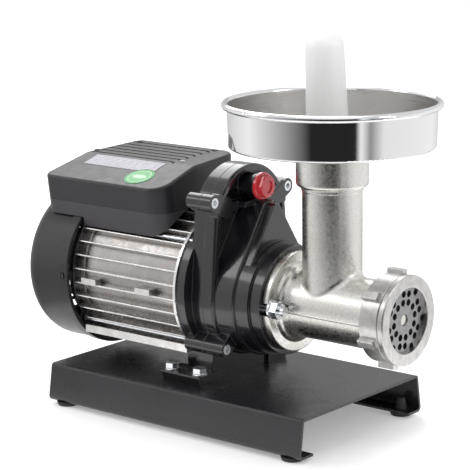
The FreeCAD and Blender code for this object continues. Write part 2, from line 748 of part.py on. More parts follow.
def gearbox_front_cover():
    x0, x1 = COVER_X
    shell = case_prism(0, x0, x1)
    rim_edges = [edge for edge in shell.Edges if abs(edge.BoundBox.XMin - x1) < 0.01]
    shell = shell.makeFillet(3.0, rim_edges)
    shell = cut(shell, [case_prism(RIM_WIDTH, RECESS_X, x1 + 1)])
    pieces = [shell, plug_shelf()]
    pieces += both_sides(corner_gusset())
    pieces += both_sides(upper_ear(x0, UPPER_EAR_FRONT_X))
    pieces += both_sides(lower_ear(x0, LOWER_EAR_FRONT_X))
    first_step = drop_prism(0, x0 + 1, DROP_X[0])
    step_edges = [edge for edge in first_step.Edges if edge.BoundBox.XMin > DROP_X[0] - 0.01]
    pieces.append(first_step.makeFillet(1.8, step_edges))
    second_step = drop_prism(3.2, DROP_X[0] - 1, DROP_X[1])
    front_edges = [edge for edge in second_step.Edges if edge.BoundBox.XMin > DROP_X[1] - 0.01]
    pieces.append(second_step.makeFillet(1.2, front_edges))
    pieces.append(rod_x(DROP_X[0], NOSE_X[0], NOSE_R[0], 0, OUT_Z))
    pieces.append(rod_x(NOSE_X[0] - 1, NOSE_X[1], NOSE_R[1], 0, OUT_Z))
    pieces.append(rod_x(RECESS_X - 1, PLUG_X[0], 12.5, 0, PLUG_Z))
    body = fuse(pieces)
    gear_room = drop_prism(3.6, x0 - 1, 35.0)
    cuts = [case_prism(CASE_WALL, x0 - 1, 16.0), gear_room]
    cuts.append(rod_x(34.0, NOSE_X[1] + 1, 22.0, 0, OUT_Z))
    cuts.append(rod_x(37.0, NOSE_X[1] + 1, BEARING_SEAT_R, 0, OUT_Z))
    cuts.append(rod_x(34.0, 44.5, 14.0, 0, COUNTER_Z))
    cuts.append(rod_x(10.0, PLUG_X[0] + 1, 7.5, 0, PLUG_Z))
    cuts.append(rod_x(PLUG_X[0], DROP_X[1] + 1, 14.8, 0, PLUG_Z))
    for y in (-STUD_Y, STUD_Y):
        cuts.append(rod_x(60.5, NOSE_X[1] + 1, STUD_R + 0.1, y, STUD_Z))
    for y in (-UPPER_EAR[0], UPPER_EAR[0]):
        cuts.append(rod_x(x0 - 1, UPPER_EAR_FRONT_X + 1, 3.3, y, UPPER_EAR[1]))
        cuts.append(rod_x(UPPER_EAR_FRONT_X - EAR_SINK, UPPER_EAR_FRONT_X + 1, 5.5, y, UPPER_EAR[1]))
    for y in (-LOWER_EAR[0], LOWER_EAR[0]):
        cuts.append(rod_x(x0 - 1, LOWER_EAR_FRONT_X + 1, 3.3, y, LOWER_EAR[1]))
        cuts.append(rod_x(LOWER_EAR_FRONT_X - EAR_SINK, LOWER_EAR_FRONT_X + 20, 5.5, y, LOWER_EAR[1]))
    return cut(body, cuts)


def cover_screws():
    screws = []
    for sign in (-1, 1):
        y, z = UPPER_EAR
        screws.append(socket_screw_x(UPPER_EAR_FRONT_X - EAR_SINK, 18.0, 5.2, 2.9, sign * y, z))
        y, z = LOWER_EAR
        screws.append(socket_screw_x(LOWER_EAR_FRONT_X - EAR_SINK, 30.0, 5.2, 2.9, sign * y, z))
    return group(screws)


def plug_seal():
    return ring_x(PLUG_X[0], PLUG_X[1], 12.6, 7.6, 0, PLUG_Z)


def oil_filler_plug():
    flange = turned_x(
        [(PLUG_X[1], 0, 0), (PLUG_X[1], 14.0, 0.5), (PLUG_X[2], 14.0, 1.5), (PLUG_X[2], 0, 0)],
        0,
        PLUG_Z,
    )
    head = hex_x(PLUG_X[2] - 0.5, PLUG_X[3], 21.0, 0, PLUG_Z)
    head_round = turned_x(
        [
            (PLUG_X[2] - 0.5, 0, 0),
            (PLUG_X[2] - 0.5, 11.4, 0),
            (PLUG_X[3], 11.4, 1.6),
            (PLUG_X[3], 0, 0),
        ],
        0,
        PLUG_Z,
    )
    shank = rod_x(PLUG_X[0] - 13.0, PLUG_X[1] + 0.5, 7.4, 0, PLUG_Z)
    dish = rod_x(PLUG_X[3] - 1.5, PLUG_X[3] + 1, 6.5, 0, PLUG_Z)
    return cut(fuse([flange, head.common(head_round), shank]), [dish])


# --- gear train -----------------------------------------------------------------------------
# Both meshes lie on the vertical centre plane, so a wheel with a tooth pointing up meets one
# with a gap pointing down.
def motor_pinion():
    module, teeth, _ = STAGE_ONE
    wheel = gear_prism(6.0, 15.6, 0, MOTOR_Z, module, teeth, 90.0)
    return cut(wheel, [rod_x(5.0, 17.0, 6.0, 0, MOTOR_Z)])


def intermediate_gear():
    module, _, teeth = STAGE_ONE
    wheel = gear_prism(6.5, 14.3, 0, COUNTER_Z, module, teeth, -90.0 + 180.0 / teeth)
    relief = [
        ring_x(6.0, 8.5, 44.0, 18.0, 0, COUNTER_Z),
        ring_x(12.3, 15.0, 44.0, 18.0, 0, COUNTER_Z),
        rod_x(5.0, 16.0, 8.0, 0, COUNTER_Z),
    ]
    return cut(wheel, relief)


def countershaft():
    module, teeth, wheel_teeth = STAGE_TWO
    pinion = gear_prism(16.5, 33.0, 0, COUNTER_Z, module, teeth, -90.0)
    stem = fuse([
        rod_x(-3.8, 5.4, 6.0, 0, COUNTER_Z),
        rod_x(5.4, 17.0, 8.0, 0, COUNTER_Z),
        rod_x(32.5, 35.4, 9.0, 0, COUNTER_Z),
        rod_x(35.0, 44.0, 6.0, 0, COUNTER_Z),
    ])
    return fuse([pinion, stem])


def countershaft_bearings():
    return group([
        ball_bearing(-3.6, 8.0, 14.0, 6.0, 0, COUNTER_Z),
        ball_bearing(36.0, 8.0, 14.0, 6.0, 0, COUNTER_Z),
    ])


def output_gear():
    module, _, teeth = STAGE_TWO
    wheel = gear_prism(18.0, 32.0, 0, OUT_Z, module, teeth, 90.0 + 180.0 / teeth)
    relief = [
        ring_x(17.0, 21.0, 43.0, 22.0, 0, OUT_Z),
        ring_x(29.0, 33.0, 43.0, 22.0, 0, OUT_Z),
        rod_x(17.0, 33.0, 13.5, 0, OUT_Z),
        box((17.0, 33.0), (-2.5, 2.5), (OUT_Z, OUT_Z + 16.0)),
    ]
    return cut(wheel, relief)


def gear_key():
    return box((18.5, 31.5), (-2.45, 2.45), (OUT_Z + 11.0, OUT_Z + 15.8))


def output_shaft():
    pieces = [
        rod_x(17.5, 32.4, 13.45, 0, OUT_Z),
        rod_x(32.2, 36.9, 17.0, 0, OUT_Z),
        rod_x(36.0, 79.6, 12.5, 0, OUT_Z),
    ]
    socket = box((57.0, 81.0), (-7.5, 7.5), (OUT_Z - 7.5, OUT_Z + 7.5))
    keyway = box((18.4, 31.6), (-2.5, 2.5), (OUT_Z + 10.9, OUT_Z + 14.0))
    return cut(fuse(pieces), [socket, keyway])


def output_bearings():
    return group([
        ball_bearing(37.0, 15.0, BEARING_SEAT_R, 12.5, 0, OUT_Z),
        ball_bearing(57.0, 15.0, BEARING_SEAT_R, 12.5, 0, OUT_Z),
    ])


def bearing_spacer():
    return ring_x(52.0, 57.0, BEARING_SEAT_R - 0.05, 21.5, 0, OUT_Z)


def output_seal():
    return ring_x(72.2, 79.4, BEARING_SEAT_R - 0.02, 12.5 + RUNNING, 0, OUT_Z)


# --- grinding head --------------------------------------------------------------------------
def grinder_body():
    outside = [
        (FLANGE_X[0], 0, 0),
        (FLANGE_X[0], FLANGE_R, 0.8),
        (FLANGE_X[1], FLANGE_R, 1.2),
        (FLANGE_X[1], 40.5, 0.8),
        (FLANGE_X[1] + 3.0, 39.0, 1.5),
        (FLANGE_X[1] + 5.0, BARREL_R + 1.0, 4.0),
        (FLANGE_X[1] + 11.0, BARREL_R, 3.0),
        (MOUTH_X[0] - 4.0, BARREL_R, 2.0),
        (MOUTH_X[0], MOUTH_R, 1.0),
        (MOUTH_X[1], MOUTH_R, 0.8),
        (MOUTH_X[1], 0, 0),
    ]
    core = rod_x(FLANGE_X[0] + 2, MOUTH_X[0] - 3, BARREL_R, 0, OUT_Z)
    core = core.fuse(rod_z(OUT_Z, COLLAR_Z[0], TUBE_R, TUBE_X, 0))
    seam = []
    for edge in core.Edges:
        bounds = edge.BoundBox
        if bounds.ZMin > OUT_Z + 5 and bounds.ZMax < OUT_Z + BARREL_R + 1 and bounds.YLength > 5:
            if bounds.XMin > TUBE_X - TUBE_R - 1 and bounds.XMax < TUBE_X + TUBE_R + 1:
                seam.append(edge)
    core = core.makeFillet(8.0, seam)
    collar = turned_z(
        [
            (0, COLLAR_Z[0] - 4.0, 0),
            (TUBE_R + 0.9, COLLAR_Z[0] - 4.0, 0.8),
            (TUBE_R + 0.9, COLLAR_Z[0] - 0.6, 0.5),
            (COLLAR_R, COLLAR_Z[0] + 1.0, 5.0),
            (COLLAR_R, COLLAR_Z[1], 0.8),
            (0, COLLAR_Z[1], 0),
        ],
        TUBE_X,
        0,
    )
    body = fuse([turned_x(outside, 0, OUT_Z), core, collar])
    cuts = [rod_x(100.0, MOUTH_X[1] + 1, BARREL_BORE_R, 0, OUT_Z)]
    cuts.append(rod_x(196.0, MOUTH_X[1] + 1, PLATE_SEAT_R, 0, OUT_Z))
    cuts.append(rod_x(FLANGE_X[0] - 1, 101.0, 17.0, 0, OUT_Z))
    cuts.append(rod_z(OUT_Z, COLLAR_Z[1] + 1, TUBE_BORE_R, TUBE_X, 0))
    cuts.append(rod_z(COLLAR_RECESS_Z, COLLAR_Z[1] + 1, COLLAR_RECESS_R, TUBE_X, 0))
    for sign in (-1, 1):
        y = sign * STUD_Y
        outer = sign * (FLANGE_R + 2)
        low_y = min(y, outer)
        high_y = max(y, outer)
        slot_x = (FLANGE_X[0] - 1, FLANGE_X[1] + 1)
        cuts.append(box(slot_x, (low_y, high_y), (STUD_Z - 6.3, STUD_Z + 6.3)))
        cuts.append(rod_x(slot_x[0], slot_x[1], 6.3, y, STUD_Z))
        cuts.append(rod_x(FLANGE_X[1], FLANGE_X[1] + 18.0, 11.0, y, STUD_Z))
    cuts.append(rod_x(201.0, MOUTH_X[1] + 1, 2.1, 0, OUT_Z - PLATE_SEAT_R))
    return cut(body, cuts)


def clamp_studs():
    studs = [rod_x(61.0, 104.0, STUD_R, y, STUD_Z) for y in (-STUD_Y, STUD_Y)]
    return group(studs)


def clamp_washers():
    washers = []
    for y in (-STUD_Y, STUD_Y):
        washers.append(ring_x(FLANGE_X[1], FLANGE_X[1] + 2.0, 9.6, STUD_R + 0.2, y, STUD_Z))
    return group(washers)


def clamp_nuts():
    nuts = []
    x0 = FLANGE_X[1] + 2.0
    for y in (-STUD_Y, STUD_Y):
        nut = hex_x(x0, x0 + 8.0, 16.0, y, STUD_Z)
        nuts.append(cut(nut, [rod_x(x0 - 1, x0 + 9, STUD_R + 0.05, y, STUD_Z)]))
    return group(nuts)


def auger_bush():
    return ring_x(82.0, 99.0, 17.0, 14.0 + RUNNING, 0, OUT_Z)


def thrust_washer():
    return ring_x(100.0, 102.0, 24.0, 14.3, 0, OUT_Z)


def auger():
    """Feed screw: square tail, journal, tapered core, two-turn flight and knife drive."""
    profile = [
        (83.0, 0, 0),
        (83.0, 14.0, 0.8),
        (102.2, 14.0, 0),
        (102.2, 23.5, 0.8),
        (106.5, 23.5, 0.8),
        (106.5, 11.5, 2.0),
        (192.0, 17.0, 0),
        (197.0, 17.0, 0.5),
        (197.0, 5.5, 0),
        (212.0, 5.5, 0.8),
        (212.0, 0, 0),
    ]
    core = turned_x(profile, 0, OUT_Z)
    tail = box((58.5, 84.0), (-7.3, 7.3), (OUT_Z - 7.3, OUT_Z + 7.3))
    drive = box((196.0, 205.0), (-6.0, 6.0), (OUT_Z - 6.0, OUT_Z + 6.0))
    helix = Part.makeHelix(AUGER_PITCH, 74.0, 20.0)
    section = Part.makePolygon([
        vec(8.0, 0, -3.4),
        vec(28.3, 0, -1.5),
        vec(28.3, 0, 1.5),
        vec(8.0, 0, 3.4),
        vec(8.0, 0, -3.4),
    ])
    flight = Part.Wire(helix.Edges).makePipeShell([section], True, True)
    flight.rotate(vec(0, 0, 0), vec(0, 1, 0), 90)
    flight.translate(vec(112.0, 0, OUT_Z))
    return core.fuse([tail, drive]).fuse(flight)


def knife():
    x0, x1 = KNIFE_X
    pieces = [rod_x(x0, x1, 12.5, 0, OUT_Z)]
    for i in range(4):
        arm = prism_x([(6.0, -4.0, 0), (31.8, -2.0, 1), (31.8, 6.5, 1), (6.0, 6.5, 0)], x0 + 1.5, x1)
        arm.rotate(vec(0, 0, 0), vec(1, 0, 0), 90 * i + 20)
        arm.translate(vec(0, 0, OUT_Z))
        pieces.append(arm)
    square = box((x0 - 1, x1 + 1), (-6.1, 6.1), (OUT_Z - 6.1, OUT_Z + 6.1))
    return cut(fuse(pieces), [square])


def cutting_plate():
    """Round plate with rings of holes about the auger pin."""
    x0, x1 = PLATE_X
    disc = turned_x([(x0, 0, 0), (x0, PLATE_R, 0.4), (x1, PLATE_R, 0.4), (x1, 0, 0)], 0, OUT_Z)
    holes = [rod_x(x0 - 1, x1 + 1, 5.58, 0, OUT_Z)]
    places = [(17.4, 30.0 * i + 8.0) for i in range(12)]
    for i in range(6):
        middle = 60.0 * i + 23.0
        places += [(25.6, middle - 9.8), (25.6, middle + 9.8), (30.2, middle + 30.0)]
    for radius, degrees in places:
        y, z = polar_x(radius, degrees)
        holes.append(rod_x(x0 - 1, x1 + 1, 3.35, y, OUT_Z + z))
    notch = box((x0 - 1, x1 + 1), (-2.6, 2.6), (OUT_Z - PLATE_R - 1, OUT_Z - PLATE_R + 2.9))
    return cut(disc, holes + [notch])


def plate_key():
    return rod_x(201.2, MOUTH_X[1] - 0.4, 2.0, 0, OUT_Z - PLATE_SEAT_R)


def ring_nut():
    outside = [
        (RING_X, 39.9, 0),
        (RING_X, 43.0, 0.8),
        (210.8, 43.0, 0.8),
        (210.8, 42.0, 0),
        (212.4, 42.0, 0),
        (212.4, 44.1, 0.6),
        (FRONT_X, 44.1, 1.4),
        (FRONT_X, RING_OPENING_R, 0.8),
        (RING_LIP_X, RING_OPENING_R, 0),
        (RING_LIP_X, 35.6, 0),
        (209.9, 35.6, 0),
        (209.9, 39.9, 0),
    ]
    pieces = [turned_x(outside, 0, OUT_Z)]
    for i in range(6):
        lug = box((191.0, 208.5), (-4.4, 4.4), (42.0, 48.6))
        outer_edges = [edge for edge in lug.Edges if edge.BoundBox.ZMin > 48]
        long_edges = [edge for edge in outer_edges if edge.BoundBox.XLength > 10]
        lug = lug.makeFillet(1.5, long_edges)
        lug.rotate(vec(0, 0, 0), vec(1, 0, 0), 60 * i - 9)
        lug.translate(vec(0, 0, OUT_Z))
        pieces.append(lug)
    return fuse(pieces)


def hopper_pan():
    low_r, high_r = PAN_WALL_R
    throat_r = NECK_OUT_R - PAN_SHEET
    outside = [
        (throat_r, PAN_Z, 0),
        (low_r, PAN_Z, 2.5),
        (high_r, RIM_Z, 0),
        (high_r - PAN_SHEET, RIM_Z, 0),
        (low_r - PAN_SHEET, PAN_Z + PAN_SHEET, 1.3),
        (throat_r, PAN_Z + PAN_SHEET, 0.9),
    ]
    dish = turned_z(outside, TUBE_X, 0)
    bead = Part.makeTorus(RIM_CIRCLE_R, RIM_BEAD_R, vec(TUBE_X, 0, RIM_Z), vec(0, 0, 1))
    return fuse([dish, bead])


def hopper_neck():
    """Short spigot welded under the pan, which drops into the collar of the feed tube."""
    return ring_z(NECK_LOW_Z, PAN_Z, NECK_OUT_R, NECK_OUT_R - PAN_SHEET, TUBE_X, 0)


def pusher():
    low, high = PUSHER_Z
    profile = [
        (0, low, 0),
        (PUSHER_R[0], low, 3.0),
        (PUSHER_R[1], PUSHER_R_Z[1], 0),
        (PUSHER_R[2], PUSHER_R_Z[2], 0),
        (PUSHER_R[3], PUSHER_R_Z[3], 0),
        (PUSHER_R[3] - 0.8, high, 13.0),
        (0, high, 0),
    ]
    stick = turned_z(profile, 0, 0)
    heading = math.radians(PUSHER_LEAN_HEADING)
    turn_axis = vec(-math.sin(heading), math.cos(heading), 0)
    stick.rotate(vec(0, 0, low), turn_axis, PUSHER_LEAN)
    shift = 0.7
    stick.translate(vec(TUBE_X + shift * math.cos(heading), shift * math.sin(heading), 0))
    return stick


# --- control box ----------------------------------------------------------------------------
def box_outline(inset, z):
    """Rounded outline of the control box at a height, shrunk by inset."""
    (left, front), (right, _), (back_right, back), (back_left, _) = BOX_OUTLINE
    left_r, right_r = BOX_CORNER_R
    front_y = front + inset + (BOX_TOP[0][1] - z) * BOX_DRAFT
    return rounded_wire([
        (vec(left + inset, front_y, z), left_r - inset),
        (vec(right - inset, front_y, z), right_r - inset),
        (vec(back_right - inset, back - inset, z), right_r - inset),
        (vec(back_left + inset, back - inset, z), left_r - inset),
    ])


def box_solid(inset):
    """Whole control box, with a sloping front top, shrunk by inset on every side."""
    low = BOX_BOTTOM_Z + inset
    block = Part.makeLoft([box_outline(inset, low), box_outline(inset, 270.0)], True, True)
    low_edges = [edge for edge in block.Edges if edge.BoundBox.ZMax < low + 0.01]
    block = block.makeFillet(5.0 - inset, low_edges)
    top = [
        (BOX_TOP[0][0] - 20, BOX_TOP[0][1] - inset - 5.9, 0),
        (BOX_TOP[1][0], BOX_TOP[1][1] - inset, 14),
        (BOX_TOP[2][0] + 20, BOX_TOP[2][1] - inset + 1.2, 0),
        (BOX_TOP[2][0] + 20, 100.0, 0),
        (BOX_TOP[0][0] - 20, 100.0, 0),
    ]
    block = block.common(prism_x(top, BOX_REAR_X - 20, 0))
    if inset == 0:
        top_edges = []
        for edge in block.Edges:
            bounds = edge.BoundBox
            if bounds.ZMin > 225.0 and (bounds.YLength > 1.0 or abs(bounds.YMin) > 60.0):
                crease = bounds.XLength > 100 and abs(bounds.YMin) < 40
                if not crease:
                    top_edges.append(edge)
        block = block.makeFillet(3.0, top_edges)
    return block


def saddle_rods(extra):
    """Room for the stator and the fan cover under the box."""
    return [
        rod_x(STATOR_X[0] - 0.5, 0, FIN_R + 0.6 + extra, 0, MOTOR_Z),
        rod_x(BOX_REAR_X - 20, STATOR_X[0] + 1.5 + extra, FAN_COVER_R + 0.6 + extra, 0, MOTOR_Z),
    ]


def control_box_base():
    outer = box_solid(0)
    inner = box_solid(BOX_SHELL)
    below = box((BOX_REAR_X - 20, 20), (-90, 90), (150, BOX_PARTING_Z))
    floor_room = fuse(saddle_rods(2.5))
    walls = cut(outer.common(below), [cut(inner, [floor_room])])
    hump = inner.common(cut(fuse([saddle_rods(2.5)[1]]), [below]))
    hump = hump.common(box((BOX_REAR_X - 20, 20), (-90, 90), (BOX_PARTING_Z - 0.5, 240)))
    body = fuse([walls, hump])
    return cut(body, saddle_rods(0)).removeSplitter()


def control_box_cover():
    outer = box_solid(0)
    inner = box_solid(BOX_SHELL)
    above = box((BOX_REAR_X - 20, 20), (-90, 90), (BOX_PARTING_Z + 0.05, 270))
    shell = cut(outer.common(above), [inner])
    grooves = []
    for i in range(6):
        y = BOX_CREASE_Y + 4.5 + 11.2 * i
        grooves.append(top_groove(-188.0 + 1.6 * i, y))
    opening = box(SWITCH_X, (60, 70), SWITCH_Z)
    gland_hole = rod_y(60, 70, 8.2, GLAND_X, GLAND_Z)
    holes = []
    for x, y in BOX_SCREWS:
        seat = box_top_z(y) - SCREW_SINK
        holes += [rod_z(225, 270, 1.7, x, y), rod_z(seat, 270, 3.4, x, y)]
    return cut(shell, grooves + holes + [opening, gland_hole] + saddle_rods(0))


def box_top_z(y):
    """Height of the cover's ribbed top behind its crease."""
    (crease_y, crease_z), (back_y, back_z) = BOX_TOP[1:]
    return crease_z + (y - crease_y) * (back_z - crease_z) / (back_y - crease_y)


def top_groove(left, y):
    """Cutter for a groove along X whose right end curls towards the front."""
    half = 1.3
    low, high = -1.2, 8.0
    straight = box((left, GROOVE_BEND_X), (y - half, y + half), (low, high))
    centre_y = y - GROOVE_BEND_R
    ring = ring_z(low, high, GROOVE_BEND_R + half, GROOVE_BEND_R - half, GROOVE_BEND_X, centre_y)
    quarter = box((GROOVE_BEND_X, GROOVE_BEND_X + 20), (centre_y + 4.5, y + 5), (low, high))
    groove = fuse([straight, ring.common(quarter)])
    slope = math.degrees(math.atan2(box_top_z(1.0) - box_top_z(0), 1.0))
    groove.rotate(vec(0, y, 0), vec(1, 0, 0), slope)
    groove.translate(vec(0, 0, box_top_z(y)))
    return groove


def box_screws():
    screws = []
    for x, y in BOX_SCREWS:
        seat = box_top_z(y) - SCREW_SINK
        head = rod_z(seat, seat + 1.5, 3.1, x, y)
        slot = box((x - 4, x + 4), (y - 0.5, y + 0.5), (seat + 0.7, seat + 3))
        shank = rod_z(seat - 14.0, seat + 0.5, 1.5, x, y)
        screws.append(cut(fuse([head, shank]), [slot]))
    return group(screws)


def tilted_tab(x, y, size_x, size_y, thickness, round_one):
    """Thin label on the sloping front of the cover, centred on (x, y)."""
    rise = BOX_TOP[1][1] - BOX_TOP[0][1]
    run = BOX_TOP[1][0] - BOX_TOP[0][0]
    slope = math.degrees(math.atan2(rise, run))
    if round_one:
        tab = rod_z(0, thickness, size_x / 2, 0, 0)
    else:
        tab = box((-size_x / 2, size_x / 2), (-size_y / 2, size_y / 2), (0, thickness))
    tab.rotate(vec(0, 0, 0), vec(1, 0, 0), slope)
    height = BOX_TOP[0][1] + (y - BOX_TOP[0][0]) * rise / run
    tab.translate(vec(x, y, height + 0.05))
    return tab


def rating_label():
    sheet = tilted_tab(LABEL_PLACE[0], LABEL_PLACE[1], 96.0, 22.0, 0.3, False)
    corner = rod_z(200, 270, STICKER_R + 0.1, STICKER_PLACE[0], STICKER_PLACE[1])
    return cut(sheet, [corner])


def inspection_sticker():
    return tilted_tab(STICKER_PLACE[0], STICKER_PLACE[1], 2 * STICKER_R, 0, 0.3, True)


def switch_frame():
    x0, x1 = SWITCH_X
    z0, z1 = SWITCH_Z
    bezel = box((x0 - 2.5, x1 + 2.5), (BOX_BACK_Y, BOX_BACK_Y + 2.0), (z0 - 2.5, z1 + 2.5))
    body = box((x0 + 0.1, x1 - 0.1), (BOX_BACK_Y - 20.0, BOX_BACK_Y + 0.5), (z0 + 0.1, z1 - 0.1))
    well = box((x0 + 2.0, x1 - 2.0), (BOX_BACK_Y - 11.0, BOX_BACK_Y + 3), (z0 + 2.0, z1 - 2.0))
    mid_z = (z0 + z1) / 2
    pin_holes = rod_x(x0 + 0.7, x1 - 0.7, SWITCH_PIN_R + RUNNING, SWITCH_PIVOT_Y, mid_z)
    return cut(fuse([bezel, body]), [well, pin_holes])


def rocker_switch():
    """Rocker on a pivot along X, lying with its lower edge pressed in."""
    x0, x1 = SWITCH_X
    mid_z = (SWITCH_Z[0] + SWITCH_Z[1]) / 2
    reach = 8.2
    points = [
        (SWITCH_PIVOT_Y - 5.0, mid_z - 2.0, 0.5),
        (SWITCH_PIVOT_Y - 5.0, mid_z + 2.0, 0.5),
        (SWITCH_PIVOT_Y + 1.0, mid_z + reach, 1.0),
        (SWITCH_PIVOT_Y + 5.5, mid_z + reach, 1.0),
        (SWITCH_PIVOT_Y + 4.2, mid_z, 0),
        (SWITCH_PIVOT_Y + 5.5, mid_z - reach, 1.0),
        (SWITCH_PIVOT_Y + 1.0, mid_z - reach, 1.0),
    ]
    pin = rod_x(x0 + 0.9, x1 - 0.9, SWITCH_PIN_R, SWITCH_PIVOT_Y, mid_z)
    rocker = fuse([prism_x(points, x0 + 2.4, x1 - 2.4), pin])
    rocker.rotate(vec(0, SWITCH_PIVOT_Y, mid_z), vec(1, 0, 0), -10)
    return rocker


def cable_gland():
    """Inlet gland in the back of the box, with an open bore for a mains lead."""
    nut = prism_gland(BOX_BACK_Y + 2.0, BOX_BACK_Y + 8.0, 20.0)
    flange = rod_y(BOX_BACK_Y, BOX_BACK_Y + 2.2, 11.0, GLAND_X, GLAND_Z)
    dome = rod_y(BOX_BACK_Y + 8.0, BOX_BACK_Y + 17.0, 8.8, GLAND_X, GLAND_Z)
    dome_edges = [edge for edge in dome.Edges if edge.BoundBox.YMin > BOX_BACK_Y + 16.9]
    dome = dome.makeFillet(2.5, dome_edges)
    thread = rod_y(BOX_BACK_Y - 10.0, BOX_BACK_Y + 0.5, 8.0, GLAND_X, GLAND_Z)
    bore = rod_y(BOX_BACK_Y - 12.0, BOX_BACK_Y + 20.0, 4.0, GLAND_X, GLAND_Z)
    return cut(fuse([nut, flange, dome, thread]), [bore])


def prism_gland(y0, y1, across_flats):
    corner_r = across_flats / math.sqrt(3)
    corners = []
    for i in range(6):
        angle = math.radians(60 * i)
        x = GLAND_X + corner_r * math.cos(angle)
        z = GLAND_Z + corner_r * math.sin(angle)
        corners.append((vec(x, y0, z), 0))
    return Part.Face(rounded_wire(corners)).extrude(vec(0, y1 - y0, 0))


def capacitor():
    can = turned_x(
        [(-138.0, 0, 0), (-138.0, 14.5, 2), (-70.0, 14.5, 1), (-70.0, 0, 0)], 30.0, 226.5
    )
    tabs = [box((-146.0, -137.0), (y - 0.5, y + 0.5), (222.0, 229.0)) for y in (25.0, 35.0)]
    return fuse([can] + tabs)


def terminal_block():
    block = box((-140.0, -100.0), (-26.0, -10.0), (214.5, 228.0))
    wells = [rod_z(222.0, 230.0, 2.2, -135.0 + 10 * i, -18.0) for i in range(4)]
    return cut(block, wells)


NODES = [
    ("base_plate", base_plate),
    ("rubber_feet", rubber_feet),
    ("foot_bolts", foot_bolts),
    ("foot_washers", foot_washers),
    ("foot_nuts", foot_nuts),
    ("stator_housing", stator_housing),
    ("stator_core", stator_core),
    ("stator_windings", stator_windings),
    ("rotor_core", rotor_core),
    ("motor_shaft", motor_shaft),
    ("front_bearing", lambda: ball_bearing(-9.2, 11.0, 17.5, 7.5, 0, MOTOR_Z)),
    ("rear_bearing", lambda: ball_bearing(-150.0, 11.0, 17.5, 7.5, 0, MOTOR_Z)),
    ("rear_end_shield", rear_end_shield),
    ("tie_rods", tie_rods),
    ("cooling_fan", cooling_fan),
    ("fan_cover", fan_cover),
    ("fan_cover_screws", fan_cover_screws),
    ("gearbox_rear_housing", gearbox_rear_housing),
    ("gearbox_gasket", gearbox_gasket),
    ("gearbox_front_cover", gearbox_front_cover),
    ("cover_screws", cover_screws),
    ("plug_seal", plug_seal),
    ("oil_filler_plug", oil_filler_plug),
    ("motor_pinion", motor_pinion),
    ("intermediate_gear", intermediate_gear),
    ("countershaft", countershaft),
    ("countershaft_bearings", countershaft_bearings),
    ("output_gear", output_gear),
    ("gear_key", gear_key),
    ("output_shaft", output_shaft),
    ("output_bearings", output_bearings),
    ("bearing_spacer", bearing_spacer),
    ("output_seal", output_seal),
    ("grinder_body", grinder_body),
    ("clamp_studs", clamp_studs),
    ("clamp_washers", clamp_washers),
    ("clamp_nuts", clamp_nuts),
    ("auger_bush", auger_bush),
    ("thrust_washer", thrust_washer),
    ("auger", auger),
    ("knife", knife),
    ("cutting_plate", cutting_plate),
    ("plate_key", plate_key),
    ("ring_nut", ring_nut),
    ("hopper_pan", hopper_pan),
    ("hopper_neck", hopper_neck),
    ("pusher", pusher),
    ("control_box_base", control_box_base),
    ("control_box_cover", control_box_cover),
    ("box_screws", box_screws),
    ("rating_label", rating_label),
    ("inspection_sticker", inspection_sticker),
    ("switch_frame", switch_frame),
    ("rocker_switch", rocker_switch),
    ("cable_gland", cable_gland),
    ("capacitor", capacitor),
    ("terminal_block", terminal_block),
]


def main():
    os.makedirs("parts", exist_ok=True)
    for name, make in NODES:
        shape = make()
        solids = len(shape.Solids)
        print(name, "solids", solids, "valid", shape.isValid(), "volume", round(shape.Volume / 1000, 2))
        save(shape, name)


main()
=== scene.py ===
import json
import math

import bmesh
import bpy
from mathutils import Matrix, Vector


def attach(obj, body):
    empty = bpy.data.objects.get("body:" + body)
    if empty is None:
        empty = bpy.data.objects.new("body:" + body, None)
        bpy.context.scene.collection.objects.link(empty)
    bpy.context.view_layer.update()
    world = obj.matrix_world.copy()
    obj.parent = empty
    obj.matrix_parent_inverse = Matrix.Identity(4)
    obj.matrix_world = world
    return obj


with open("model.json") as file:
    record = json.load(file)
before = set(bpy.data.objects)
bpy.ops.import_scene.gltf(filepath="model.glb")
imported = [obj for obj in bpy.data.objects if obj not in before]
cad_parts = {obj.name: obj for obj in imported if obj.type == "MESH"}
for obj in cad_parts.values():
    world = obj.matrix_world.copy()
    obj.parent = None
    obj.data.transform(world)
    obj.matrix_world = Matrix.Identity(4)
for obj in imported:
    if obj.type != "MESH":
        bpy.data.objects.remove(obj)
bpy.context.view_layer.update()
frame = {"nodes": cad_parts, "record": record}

MM = 0.001
NODES = frame["nodes"]
MOTOR_AXIS_Z = 0.1345
BARREL_AXIS_Z = 0.128
HOPPER_X = 0.11925
STICKER_X = -0.09195
STICKER_Y = -0.044
FIN_TIP_R = 0.0735                     # the fins are bright outside this radius, where painted shade starts
FIN_SHADE_FULL_R = 0.0680                 # and fully darkened by painted shade inside this one
PAN_INSIDE_TOP_Z = 0.3285              # the rim above it stays polished
EDGE_DOT = 0.75                        # how far a normal has turned where an edge mask is full


# --- camera and mesh helpers ----------------------------------------------------------------
CAMERA_AT = Vector((1.21815, -1.4832, 0.5944))
CAMERA_YAW = math.radians(39.47)       # the view's heading, turned from +Y towards -X
CAMERA_PITCH = math.radians(12.04)     # looking down
CAMERA_ROLL = math.radians(-0.64)
CAMERA_LENS = 148.8


